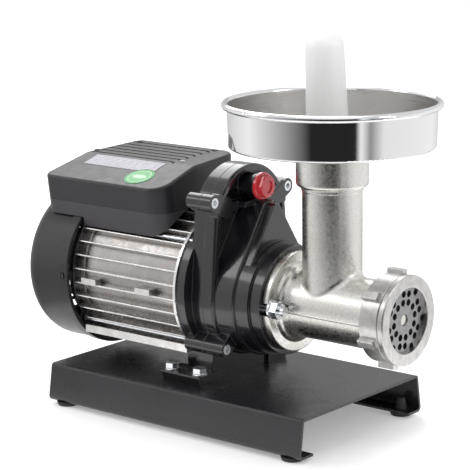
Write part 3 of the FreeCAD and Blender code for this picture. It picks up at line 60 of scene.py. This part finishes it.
def make_camera():
    data = bpy.data.cameras.new("camera")
    data.lens = CAMERA_LENS
    data.clip_end = 50.0
    camera = bpy.data.objects.new("camera", data)
    bpy.context.scene.collection.objects.link(camera)
    back = Vector((
        math.sin(CAMERA_YAW) * math.cos(CAMERA_PITCH),
        -math.cos(CAMERA_YAW) * math.cos(CAMERA_PITCH),
        math.sin(CAMERA_PITCH),
    ))
    right = Vector((math.cos(CAMERA_YAW), math.sin(CAMERA_YAW), 0.0))
    turn = Matrix((right, back.cross(right), back)).transposed()
    roll = Matrix.Rotation(CAMERA_ROLL, 4, "Z")
    camera.matrix_world = Matrix.Translation(CAMERA_AT) @ turn.to_4x4() @ roll
    bpy.context.scene.camera = camera


def mesh_object(name, make):
    """New object whose mesh is filled in by make(bm)."""
    data = bpy.data.meshes.new(name)
    bm = bmesh.new()
    make(bm)
    bm.to_mesh(data)
    bm.free()
    thing = bpy.data.objects.new(name, data)
    bpy.context.scene.collection.objects.link(thing)
    return thing


def grid_rows(bm, rows):
    """Faces between rows of points of equal length."""
    made = [[bm.verts.new(point) for point in row] for row in rows]
    for low, high in zip(made, made[1:]):
        for i in range(len(low) - 1):
            bm.faces.new((low[i], low[i + 1], high[i + 1], high[i]))


def shade_smooth(thing):
    for polygon in thing.data.polygons:
        polygon.use_smooth = True


# --- shader helpers -------------------------------------------------------------------------
class Shader:
    """A material with one Principled shader and helpers for its procedural detail."""

    def __init__(self, name, colour, roughness, metallic=0.0, **sockets):
        self.material = bpy.data.materials.new(name)
        self.material.use_nodes = True
        self.tree = self.material.node_tree
        self.bsdf = self.tree.nodes["Principled BSDF"]
        self.set("Base Color", (*colour, 1.0))
        self.set("Roughness", roughness)
        self.set("Metallic", metallic)
        for socket, value in sockets.items():
            self.set(socket.replace("_", " ").title().replace("Ior", "IOR"), value)
        self.colour = colour
        self.normal = None
        self.coords = self.node("ShaderNodeTexCoord").outputs["Object"]

    def node(self, kind, **settings):
        made = self.tree.nodes.new(kind)
        for key, value in settings.items():
            setattr(made, key, value)
        return made

    def link(self, source, target):
        self.tree.links.new(source, target)

    def set(self, socket, value):
        self.bsdf.inputs[socket].default_value = value

    def stretched(self, scale):
        """Object coordinates multiplied by scale along each axis."""
        mapping = self.node("ShaderNodeMapping")
        mapping.inputs["Scale"].default_value = scale
        self.link(self.coords, mapping.inputs["Vector"])
        return mapping.outputs["Vector"]

    def noise(self, scale, detail=3.0, rough=0.5, vector=None):
        made = self.node("ShaderNodeTexNoise")
        made.inputs["Scale"].default_value = scale
        made.inputs["Detail"].default_value = detail
        made.inputs["Roughness"].default_value = rough
        self.link(vector or self.coords, made.inputs["Vector"])
        return made.outputs["Fac"]

    def cells(self, scale):
        made = self.node("ShaderNodeTexVoronoi")
        made.inputs["Scale"].default_value = scale
        self.link(self.coords, made.inputs["Vector"])
        return made.outputs["Distance"]

    def remap(self, value, low, high, new_low, new_high):
        made = self.node("ShaderNodeMapRange")
        for index, number in enumerate((low, high, new_low, new_high)):
            made.inputs[index + 1].default_value = number
        self.link(value, made.inputs[0])
        return made.outputs[0]

    def off_axis(self, flatten, centre):
        """Distance from a line through centre; flatten is 0 along the line and 1 across it."""
        shift = self.node("ShaderNodeVectorMath", operation="SUBTRACT")
        shift.inputs[1].default_value = centre
        flat = self.node("ShaderNodeVectorMath", operation="MULTIPLY")
        flat.inputs[1].default_value = flatten
        length = self.node("ShaderNodeVectorMath", operation="LENGTH")
        self.link(self.coords, shift.inputs[0])
        self.link(shift.outputs["Vector"], flat.inputs[0])
        self.link(flat.outputs["Vector"], length.inputs[0])
        return length.outputs["Value"]

    def mix(self, factor, first, second):
        made = self.node("ShaderNodeMix", data_type="RGBA")
        self.link(factor, made.inputs[0])
        for socket, colour in ((made.inputs[6], first), (made.inputs[7], second)):
            if isinstance(colour, tuple):
                socket.default_value = (*colour, 1.0)
            else:
                self.link(colour, socket)
        return made.outputs[2]

    def tint(self, factor, other):
        """Mixes the present base colour with another by factor."""
        present = self.bsdf.inputs["Base Color"]
        first = present.links[0].from_socket if present.is_linked else self.colour
        self.link(self.mix(factor, first, other), present)

    def vary_roughness(self, value, low, high):
        self.link(self.remap(value, 0.3, 0.7, low, high), self.bsdf.inputs["Roughness"])

    def soften_edges(self, radius):
        """Rounds the shading of sharp edges."""
        bevel = self.node("ShaderNodeBevel", samples=4)
        bevel.inputs["Radius"].default_value = radius
        self.normal = bevel.outputs["Normal"]
        self.link(self.normal, self.bsdf.inputs["Normal"])

    def edge_highlight_mask(self, radius):
        """1 along convex and concave edges, 0 on open faces; colour mixed in by it is a painted
        highlight on edges.
        """
        bevel = self.node("ShaderNodeBevel", samples=4)
        bevel.inputs["Radius"].default_value = radius
        geometry = self.node("ShaderNodeNewGeometry")
        dot = self.node("ShaderNodeVectorMath", operation="DOT_PRODUCT")
        self.link(bevel.outputs["Normal"], dot.inputs[0])
        self.link(geometry.outputs["Normal"], dot.inputs[1])
        return self.remap(dot.outputs["Value"], 1.0, EDGE_DOT, 0.0, 1.0)

    def bump(self, height, strength, distance):
        made = self.node("ShaderNodeBump")
        made.inputs["Strength"].default_value = strength
        made.inputs["Distance"].default_value = distance
        self.link(height, made.inputs["Height"])
        if self.normal:
            self.link(self.normal, made.inputs["Normal"])
        self.normal = made.outputs["Normal"]
        self.link(self.normal, self.bsdf.inputs["Normal"])


# --- materials, one function for each finish ------------------------------------------------
def powder_coat():
    """Satin black powder coat on folded sheet."""
    s = Shader("base_paint", (0.013, 0.012, 0.0145), 0.32, coat_weight=0.15, coat_roughness=0.2)
    s.soften_edges(0.9 * MM)
    s.vary_roughness(s.noise(60.0), 0.24, 0.34)
    s.tint(s.remap(s.noise(9.0), 0.35, 0.7, 0.0, 0.5), (0.022, 0.020, 0.024))
    # Painted highlight: edges lighter in colour.
    s.tint(s.edge_highlight_mask(1.2 * MM), (0.06, 0.056, 0.06))
    s.bump(s.noise(900.0, 2.0), 0.2, 0.06 * MM)
    return s.material


def case_enamel():
    """Glossy black enamel over a casting."""
    s = Shader("case_paint", (0.009, 0.008, 0.010), 0.17, coat_weight=0.6, coat_roughness=0.1)
    s.soften_edges(1.2 * MM)
    s.vary_roughness(s.noise(45.0), 0.14, 0.26)
    # Painted highlight: edges lighter in colour.
    s.tint(s.edge_highlight_mask(1.6 * MM), (0.06, 0.055, 0.062))
    s.bump(s.noise(150.0, 2.0), 0.3, 0.3 * MM)
    s.bump(s.noise(900.0, 3.0), 0.15, 0.06 * MM)
    return s.material


def moulded_black(name, colour, roughness, grain):
    """Black plastic with a fine spark-eroded grain."""
    s = Shader(name, colour, roughness)
    s.soften_edges(0.8 * MM)
    lighter = tuple(1.3 * c for c in colour)
    s.tint(s.remap(s.noise(25.0), 0.35, 0.7, 0.0, 0.6), lighter)
    # Painted highlight: edges lighter in colour.
    s.tint(s.edge_highlight_mask(1.0 * MM), tuple(2.2 * c for c in colour))
    s.vary_roughness(s.noise(110.0), roughness - 0.04, roughness + 0.05)
    s.bump(s.cells(grain), 0.22, 0.05 * MM)
    return s.material


def die_cast():
    """Die-cast aluminium: bright fin tips over channels darkened with painted shade."""
    s = Shader("motor_aluminium", (0.86, 0.85, 0.84), 0.28, 1.0)
    s.soften_edges(0.5 * MM)
    fin_shade_radius = s.off_axis((0.0, 1.0, 1.0), (0.0, 0.0, MOTOR_AXIS_Z))
    # Painted shade: the colour darkens towards the channel floors between the fins.
    s.tint(s.remap(fin_shade_radius, FIN_TIP_R, FIN_SHADE_FULL_R, 0.0, 0.95), (0.36, 0.335, 0.32))
    s.tint(s.remap(s.noise(55.0, 4.0), 0.45, 0.75, 0.0, 0.5), (0.52, 0.5, 0.48))
    s.vary_roughness(s.noise(160.0, 4.0), 0.2, 0.36)
    s.bump(s.noise(700.0, 4.0), 0.3, 0.12 * MM)
    return s.material


def tinned_casting(name, speckle, low, high):
    """Tinned iron: a bright coat over a sand-cast skin with fine pits."""
    s = Shader(name, (0.77, 0.76, 0.725), low, 1.0)
    s.soften_edges(0.9 * MM)
    s.tint(s.remap(s.noise(700.0, 5.0, 0.65), 0.5, 0.7, 0.0, speckle), (0.42, 0.41, 0.38))
    s.tint(s.remap(s.noise(28.0, 2.0), 0.45, 0.75, 0.0, 0.45), (0.68, 0.66, 0.6))
    s.vary_roughness(s.noise(300.0, 4.0), low, high)
    s.bump(s.noise(90.0, 2.0), 0.14, 0.4 * MM)
    s.bump(s.noise(520.0, 4.0, 0.6), 0.13, 0.07 * MM)
    return s.material


def polished_stainless():
    """Mirror-polished stainless with faint spinning marks."""
    s = Shader("stainless", (0.84, 0.84, 0.85), 0.07, 1.0)
    s.vary_roughness(s.noise(40.0, 3.0, vector=s.stretched((0.3, 0.3, 30.0))), 0.05, 0.1)
    s.bump(s.noise(90.0, 2.0, vector=s.stretched((0.2, 0.2, 12.0))), 0.04, 0.05 * MM)
    return s.material


def satin_stainless():
    """Inside of the pan: the same sheet with a duller, brushed finish."""
    s = Shader("stainless_inside", (0.66, 0.65, 0.64), 0.3, 1.0)
    s.vary_roughness(s.noise(60.0, 3.0, vector=s.stretched((0.5, 0.5, 20.0))), 0.26, 0.36)
    s.bump(s.noise(400.0, 2.0, vector=s.stretched((0.3, 0.3, 12.0))), 0.08, 0.04 * MM)
    return s.material


def steel(name, colour, low, high, grain=500.0, stretch=(1.0, 1.0, 1.0), rounding=0.3):
    """Machined or plated steel; stretch draws its marks out along an axis."""
    s = Shader(name, colour, low, 1.0)
    s.soften_edges(rounding * MM)
    marks = s.noise(grain, 4.0, vector=s.stretched(stretch))
    s.vary_roughness(marks, low, high)
    darker = tuple(0.8 * c for c in colour)
    s.tint(s.remap(s.noise(grain / 6.0), 0.4, 0.75, 0.0, 0.7), darker)
    s.bump(marks, 0.12, 0.04 * MM)
    return s.material


def turned_steel(name, colour, low, high):
    """Steel turned about the barrel's axis, with fine circular marks."""
    s = Shader(name, colour, low, 1.0, anisotropic=0.4)
    s.soften_edges(0.35 * MM)
    marks = s.noise(1500.0, 3.0, vector=s.off_axis((0.0, 1.0, 1.0), (0.0, 0.0, BARREL_AXIS_Z)))
    s.vary_roughness(marks, low, high)
    s.tint(s.remap(s.noise(160.0, 4.0), 0.4, 0.7, 0.0, 0.8), tuple(0.75 * c for c in colour))
    s.bump(marks, 0.15, 0.05 * MM)
    return s.material


def soft_plastic(name, colour, roughness, radius, weight, **sockets):
    """Plastic that light enters, such as the white pusher."""
    s = Shader(name, colour, roughness, subsurface_weight=weight, subsurface_scale=radius, **sockets)
    s.set("Subsurface Radius", (1.0, 1.0, 1.0))
    s.soften_edges(0.5 * MM)
    s.vary_roughness(s.noise(70.0), roughness - 0.05, roughness + 0.06)
    s.bump(s.noise(350.0, 2.0), 0.12, 0.08 * MM)
    return s.material


def rubber(name, colour):
    s = Shader(name, colour, 0.75)
    s.soften_edges(0.6 * MM)
    s.tint(s.remap(s.noise(200.0), 0.4, 0.7, 0.0, 1.0), tuple(1.6 * c for c in colour))
    s.bump(s.noise(1500.0, 3.0), 0.3, 0.06 * MM)
    return s.material


def laminations():
    """Stacked electrical steel, one thin line for each sheet along X."""
    s = Shader("lamination", (0.34, 0.34, 0.36), 0.4, 1.0)
    sheets = s.noise(2000.0, 0.0, vector=s.stretched((1.0, 0.0, 0.0)))
    s.tint(s.remap(sheets, 0.4, 0.6, 0.0, 1.0), (0.15, 0.15, 0.16))
    s.bump(sheets, 0.5, 0.1 * MM)
    return s.material


def enamelled_copper():
    """Winding wire: round turns drawn by a fine wave."""
    s = Shader("copper", (0.7, 0.3, 0.12), 0.28, 0.9)
    wave = s.node("ShaderNodeTexWave", wave_type="BANDS", bands_direction="DIAGONAL")
    wave.inputs["Scale"].default_value = 180.0
    wave.inputs["Distortion"].default_value = 1.5
    s.link(s.coords, wave.inputs["Vector"])
    s.tint(wave.outputs["Fac"], (0.42, 0.13, 0.04))
    s.bump(wave.outputs["Fac"], 0.8, 0.5 * MM)
    return s.material


def bronze():
    s = Shader("bronze", (0.62, 0.42, 0.2), 0.35, 1.0)
    s.tint(s.remap(s.noise(600.0, 4.0), 0.45, 0.65, 0.0, 1.0), (0.4, 0.25, 0.1))
    s.bump(s.noise(1200.0, 3.0), 0.3, 0.05 * MM)
    return s.material


def printed_label():
    """Pale film with generic grey rules instead of print."""
    s = Shader("label_film", (0.50, 0.49, 0.54), 0.55)
    rows = s.node("ShaderNodeTexWave", wave_type="BANDS", bands_direction="Y")
    rows.inputs["Scale"].default_value = 105.0
    s.link(s.coords, rows.inputs["Vector"])
    words = s.noise(330.0, 1.0, vector=s.stretched((1.0, 0.2, 0.0)))
    ink = s.node("ShaderNodeMath", operation="MULTIPLY")
    s.link(s.remap(rows.outputs["Fac"], 0.6, 0.8, 0.0, 1.0), ink.inputs[0])
    s.link(s.remap(words, 0.42, 0.5, 0.0, 1.0), ink.inputs[1])
    s.tint(ink.outputs[0], (0.30, 0.30, 0.34))
    s.bump(s.noise(300.0), 0.05, 0.05 * MM)
    return s.material


def printed_sticker():
    """Round green film with a plain pale ring and lozenge as its mark."""
    s = Shader("sticker_film", (0.10, 0.40, 0.14), 0.55)
    s.tint(s.remap(s.noise(500.0), 0.4, 0.7, 0.0, 1.0), (0.14, 0.46, 0.18))
    centre = (STICKER_X, STICKER_Y, 0.0)
    radius = s.off_axis((1.0, 1.04, 0.0), centre)
    s.tint(s.remap(radius, 0.0128, 0.0136, 0.75, 0.0), (0.50, 0.72, 0.50))
    s.tint(s.remap(radius, 0.0114, 0.0120, 0.8, 0.0), (0.14, 0.46, 0.18))
    mark = s.off_axis((1.0, 2.3, 0.0), centre)
    s.tint(s.remap(mark, 0.0086, 0.0094, 0.9, 0.0), (0.60, 0.80, 0.60))
    s.bump(s.noise(400.0), 0.05, 0.05 * MM)
    return s.material


def red_plastic():
    s = Shader("red_plastic", (0.68, 0.035, 0.05), 0.14, coat_weight=0.6, coat_roughness=0.06)
    s.set("Subsurface Weight", 0.35)
    s.set("Subsurface Scale", 4.0 * MM)
    s.soften_edges(0.6 * MM)
    s.tint(s.remap(s.noise(90.0), 0.35, 0.7, 0.0, 0.7), (0.52, 0.015, 0.03))
    s.vary_roughness(s.noise(120.0), 0.1, 0.22)
    s.bump(s.noise(500.0), 0.08, 0.05 * MM)
    return s.material


def finishes():
    """One material for each of the record's slots."""
    return {
        "base_paint": powder_coat(),
        "case_paint": case_enamel(),
        "cowl_plastic": moulded_black("cowl_plastic", (0.014, 0.013, 0.015), 0.3, 1900.0),
        "box_plastic": moulded_black("box_plastic", (0.018, 0.0165, 0.0195), 0.38, 2300.0),
        "switch_plastic": moulded_black("switch_plastic", (0.022, 0.022, 0.023), 0.38, 2500.0),
        "fan_plastic": moulded_black("fan_plastic", (0.04, 0.04, 0.04), 0.5, 1500.0),
        "motor_aluminium": die_cast(),
        "tinned_iron": tinned_casting("tinned_iron", 0.5, 0.23, 0.36),
        "auger_iron": tinned_casting("auger_iron", 0.4, 0.16, 0.28),
        "ring_steel": turned_steel("ring_steel", (0.64, 0.63, 0.62), 0.22, 0.34),
        "stainless": polished_stainless(),
        "zinc": steel("zinc", (0.83, 0.85, 0.88), 0.14, 0.26, 700.0),
        "shaft_steel": steel("shaft_steel", (0.62, 0.62, 0.64), 0.2, 0.34, 900.0, (1.0, 0.2, 0.2)),
        "bearing_steel": steel("bearing_steel", (0.68, 0.68, 0.7), 0.1, 0.2, 900.0),
        "gear_steel": steel("gear_steel", (0.48, 0.48, 0.5), 0.28, 0.42, 500.0),
        "knife_steel": steel("knife_steel", (0.7, 0.7, 0.72), 0.2, 0.35, 800.0, (1.0, 0.2, 1.0)),
        "plate_steel": turned_steel("plate_steel", (0.36, 0.355, 0.36), 0.3, 0.42),
        "lamination": laminations(),
        "copper": enamelled_copper(),
        "bronze": bronze(),
        "rubber": rubber("rubber", (0.022, 0.022, 0.022)),
        "gasket": rubber("gasket", (0.05, 0.05, 0.045)),
        "red_plastic": red_plastic(),
        "white_plastic": soft_plastic("white_plastic", (0.82, 0.825, 0.82), 0.34, 12.0 * MM, 0.6),
        "capacitor_plastic": soft_plastic("capacitor_plastic", (0.62, 0.62, 0.6), 0.4, 2.0 * MM, 0.2),
        "rocker_plastic": soft_plastic("rocker_plastic", (0.02, 0.22, 0.06), 0.2, 2.0 * MM, 0.3),
        "label_film": printed_label(),
        "sticker_film": printed_sticker(),
    }


def dress_cad_nodes(materials):
    """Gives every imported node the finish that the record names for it."""
    for part in frame["record"]["subparts"]:
        thing = NODES[part["node"]]
        thing.data.materials.clear()
        thing.data.materials.append(materials[part["material_slot"]])


def give_faces(thing, material, wanted):
    """Puts a second material on the faces whose centre and normal are wanted."""
    thing.data.materials.append(material)
    for polygon in thing.data.polygons:
        if wanted(polygon.center, polygon.normal):
            polygon.material_index = len(thing.data.materials) - 1


def inside_pan(centre, normal):
    outward = Vector((centre.x - HOPPER_X, centre.y, 0.0)).normalized()
    return centre.z < PAN_INSIDE_TOP_Z and (normal.dot(outward) < -0.3 or normal.z > 0.5)


def everywhere(centre, normal):
    return True


def away_from_sticker(centre, normal):
    """Picks the box screws that are blackened; the one near the sticker stays bright."""
    return centre.x < -0.1 or centre.y > 0.02


def give_second_finishes():
    """Finishes that differ from a node's slot: the pan's inside, the lower box made lighter as
    painted reflection, and dark screws.
    """
    give_faces(NODES["hopper_pan"], satin_stainless(), inside_pan)
    # Painted reflection: the lower box shell is a lighter copy of the box plastic.
    lower_box_reflection = moulded_black("lower_box_painted_reflection", (0.040, 0.037, 0.041), 0.4, 2300.0)
    give_faces(NODES["control_box_base"], lower_box_reflection, everywhere)
    dark_screw = steel("dark_screw", (0.09, 0.085, 0.09), 0.3, 0.42, 700.0)
    give_faces(NODES["fan_cover_screws"], dark_screw, everywhere)
    give_faces(NODES["box_screws"], dark_screw, away_from_sticker)


# --- stage ----------------------------------------------------------------------------------
FLOOR_HALF = 30.0
FLOOR_GLOW = 0.27
WORLD_LIGHT = 0.78                     # the world as a light
WORLD_SEEN = 1.02                      # the world as the backdrop
# Radius and height of the reflector's rows: a skirt near the floor, then a wall.
REFLECTOR_ROWS = ((0.42, 0.003), (0.66, 0.05), (0.76, 0.52))
REFLECTOR_CHANGE_Z = (0.085, 0.10)
REFLECTOR_STEPS = 180


def make_floor():
    def fill(bm):
        corners = ((-1, -1), (1, -1), (1, 1), (-1, 1))
        bm.faces.new([bm.verts.new((x * FLOOR_HALF, y * FLOOR_HALF, 0.0)) for x, y in corners])

    floor = mesh_object("floor", fill)
    s = Shader("floor", (0.93, 0.93, 0.93), 0.5)
    s.tint(s.remap(s.noise(3.0), 0.3, 0.7, 0.0, 1.0), (0.95, 0.95, 0.95))
    s.set("Emission Color", (1.0, 1.0, 1.0, 1.0))
    s.set("Emission Strength", FLOOR_GLOW)
    floor.data.materials.append(s.material)


def make_world():
    world = bpy.data.worlds.new("studio")
    bpy.context.scene.world = world
    world.use_nodes = True
    background = world.node_tree.nodes["Background"]
    background.inputs["Color"].default_value = (1.0, 1.0, 1.0, 1.0)
    path = world.node_tree.nodes.new("ShaderNodeLightPath")
    strength = world.node_tree.nodes.new("ShaderNodeMapRange")
    strength.inputs[3].default_value = WORLD_LIGHT
    strength.inputs[4].default_value = WORLD_SEEN
    world.node_tree.links.new(path.outputs["Is Camera Ray"], strength.inputs[0])
    world.node_tree.links.new(strength.outputs[0], background.inputs["Strength"])


def area_light(name, at, towards, size, power):
    data = bpy.data.lights.new(name, "AREA")
    data.shape = "RECTANGLE"
    data.size, data.size_y = size
    data.energy = power
    light = bpy.data.objects.new(name, data)
    bpy.context.scene.collection.objects.link(light)
    light.location = at
    light.rotation_euler = (Vector(towards) - Vector(at)).to_track_quat("-Z", "Y").to_euler()
    return data


def make_lights():
    centre = (0.0, 0.0, 0.15)
    area_light("top_softbox", (0.2, -0.3, 2.2), centre, (1.6, 1.6), 8.0)
    back = area_light("back_softbox", (-1.36, 0.95, 1.6), centre, (1.5, 1.5), 20.0)
    back.diffuse_factor = 0.2
    area_light("left_softbox", (-1.8, -1.6, 1.3), centre, (0.9, 1.4), 10.0)
    area_light("right_softbox", (2.2, 0.4, 1.2), centre, (0.7, 1.4), 8.0)


# Brightness of the reflector by heading in degrees. The upper part, which the pan mirrors, is a
# soft card on the left, a dark flag in front, a bright gap, a narrow flag and a card on the right.
# The foot, which the head and the motor mirror, is a card on each side.
REFLECTOR_TOP = (
    (-230.0, 0.5),
    (-150.0, 1.0),
    (-75.0, 0.02),
    (-30.0, 0.02),
    (-25.0, 1.0),
    (-15.0, 0.3),
    (0.0, 0.9),
    (75.0, 1.0),
    (130.0, 0.5),
)
REFLECTOR_FOOT = (
    (-230.0, 0.3),
    (-130.0, 0.8),
    (-60.0, 0.2),
    (0.0, 0.2),
    (30.0, 1.0),
    (60.0, 1.0),
    (130.0, 0.3),
)


def brightness_ramp(tree, place, table):
    """Colour ramp over the card's place from 0 to 1 that follows a table of headings."""
    first, last = table[0][0], table[-1][0]
    ramp = tree.nodes.new("ShaderNodeValToRGB")
    elements = ramp.color_ramp.elements
    while len(elements) < len(table):
        elements.new(0.5)
    for element, (degrees, level) in zip(elements, table):
        element.position = (degrees - first) / (last - first)
        element.color = (level, level, level, 1.0)
    tree.links.new(place, ramp.inputs["Fac"])
    return ramp.outputs["Color"]


def reflector_material(centre, first, last):
    material = bpy.data.materials.new("reflector")
    material.use_nodes = True
    tree = material.node_tree
    tree.nodes.clear()
    links = tree.links
    coords = tree.nodes.new("ShaderNodeTexCoord")
    split = tree.nodes.new("ShaderNodeSeparateXYZ")
    shift = tree.nodes.new("ShaderNodeVectorMath")
    shift.operation = "SUBTRACT"
    shift.inputs[1].default_value = centre
    heading = tree.nodes.new("ShaderNodeMath")
    heading.operation = "ARCTAN2"
    wrapped = tree.nodes.new("ShaderNodeMath")
    wrapped.operation = "WRAP"
    wrapped.inputs[1].default_value = last
    wrapped.inputs[2].default_value = first
    place = tree.nodes.new("ShaderNodeMapRange")
    place.inputs[1].default_value = first
    place.inputs[2].default_value = last
    height = tree.nodes.new("ShaderNodeMapRange")
    height.inputs[1].default_value = REFLECTOR_CHANGE_Z[0]
    height.inputs[2].default_value = REFLECTOR_CHANGE_Z[1]
    blend = tree.nodes.new("ShaderNodeMix")
    blend.data_type = "RGBA"
    emission = tree.nodes.new("ShaderNodeEmission")
    output = tree.nodes.new("ShaderNodeOutputMaterial")
    links.new(coords.outputs["Object"], shift.inputs[0])
    links.new(shift.outputs[0], split.inputs[0])
    links.new(split.outputs["Y"], heading.inputs[0])
    links.new(split.outputs["X"], heading.inputs[1])
    links.new(split.outputs["Z"], height.inputs[0])
    links.new(heading.outputs[0], wrapped.inputs[0])
    links.new(wrapped.outputs[0], place.inputs[0])
    links.new(height.outputs[0], blend.inputs[0])
    links.new(brightness_ramp(tree, place.outputs[0], REFLECTOR_FOOT), blend.inputs[6])
    links.new(brightness_ramp(tree, place.outputs[0], REFLECTOR_TOP), blend.inputs[7])
    links.new(blend.outputs[2], emission.inputs["Color"])
    links.new(emission.outputs[0], output.inputs["Surface"])
    return material


def make_reflector():
    """Curved card that only reflections see: dark towards the front, with one bright gap."""
    centre = Vector((HOPPER_X, 0.0, 0.0))
    first, last = math.radians(REFLECTOR_TOP[0][0]), math.radians(REFLECTOR_TOP[-1][0])

    def fill(bm):
        rows = []
        for i in range(REFLECTOR_STEPS + 1):
            heading = first + (last - first) * i / REFLECTOR_STEPS
            across = Vector((math.cos(heading), math.sin(heading), 0.0))
            rows.append([centre + across * radius + Vector((0.0, 0.0, z))
                         for radius, z in REFLECTOR_ROWS])
        grid_rows(bm, rows)

    card = mesh_object("reflector", fill)
    card.data.materials.append(reflector_material(centre, first, last))
    card.visible_camera = False
    card.visible_diffuse = False
    card.visible_shadow = False
    card.visible_transmission = False


# --- pieces made here -----------------------------------------------------------------------
SEAM_X = (0.0801, 0.1799)
SEAM_ANGLES = (5.0, 185.0)
SEAM_HALF_ANGLE = 2.6
SEAM_SINK = 0.4 * MM
SEAM_RISE = 1.3 * MM
BARREL_R = 0.034


def barrel_seams(material):
    """Casting seams: low ridges along both sides of the barrel."""
    def fill(bm):
        for degrees in SEAM_ANGLES:
            rows = []
            for k in range(7):
                across = (k - 3) / 3.0
                angle = math.radians(degrees + SEAM_HALF_ANGLE * across)
                radius = BARREL_R - SEAM_SINK + SEAM_RISE * (1.0 - across * across)
                y = radius * math.cos(angle)
                z = BARREL_AXIS_Z + radius * math.sin(angle)
                rows.append([(x, y, z) for x in SEAM_X])
            grid_rows(bm, rows)

    ridge = mesh_object("barrel_seams", fill)
    shade_smooth(ridge)
    ridge.data.materials.append(material)
    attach(ridge, "machine")


make_camera()
make_world()
make_floor()
make_lights()
make_reflector()
materials = finishes()
dress_cad_nodes(materials)
barrel_seams(materials["tinned_iron"])
give_second_finishes()
bpy.context.scene.view_settings.view_transform = "Standard"
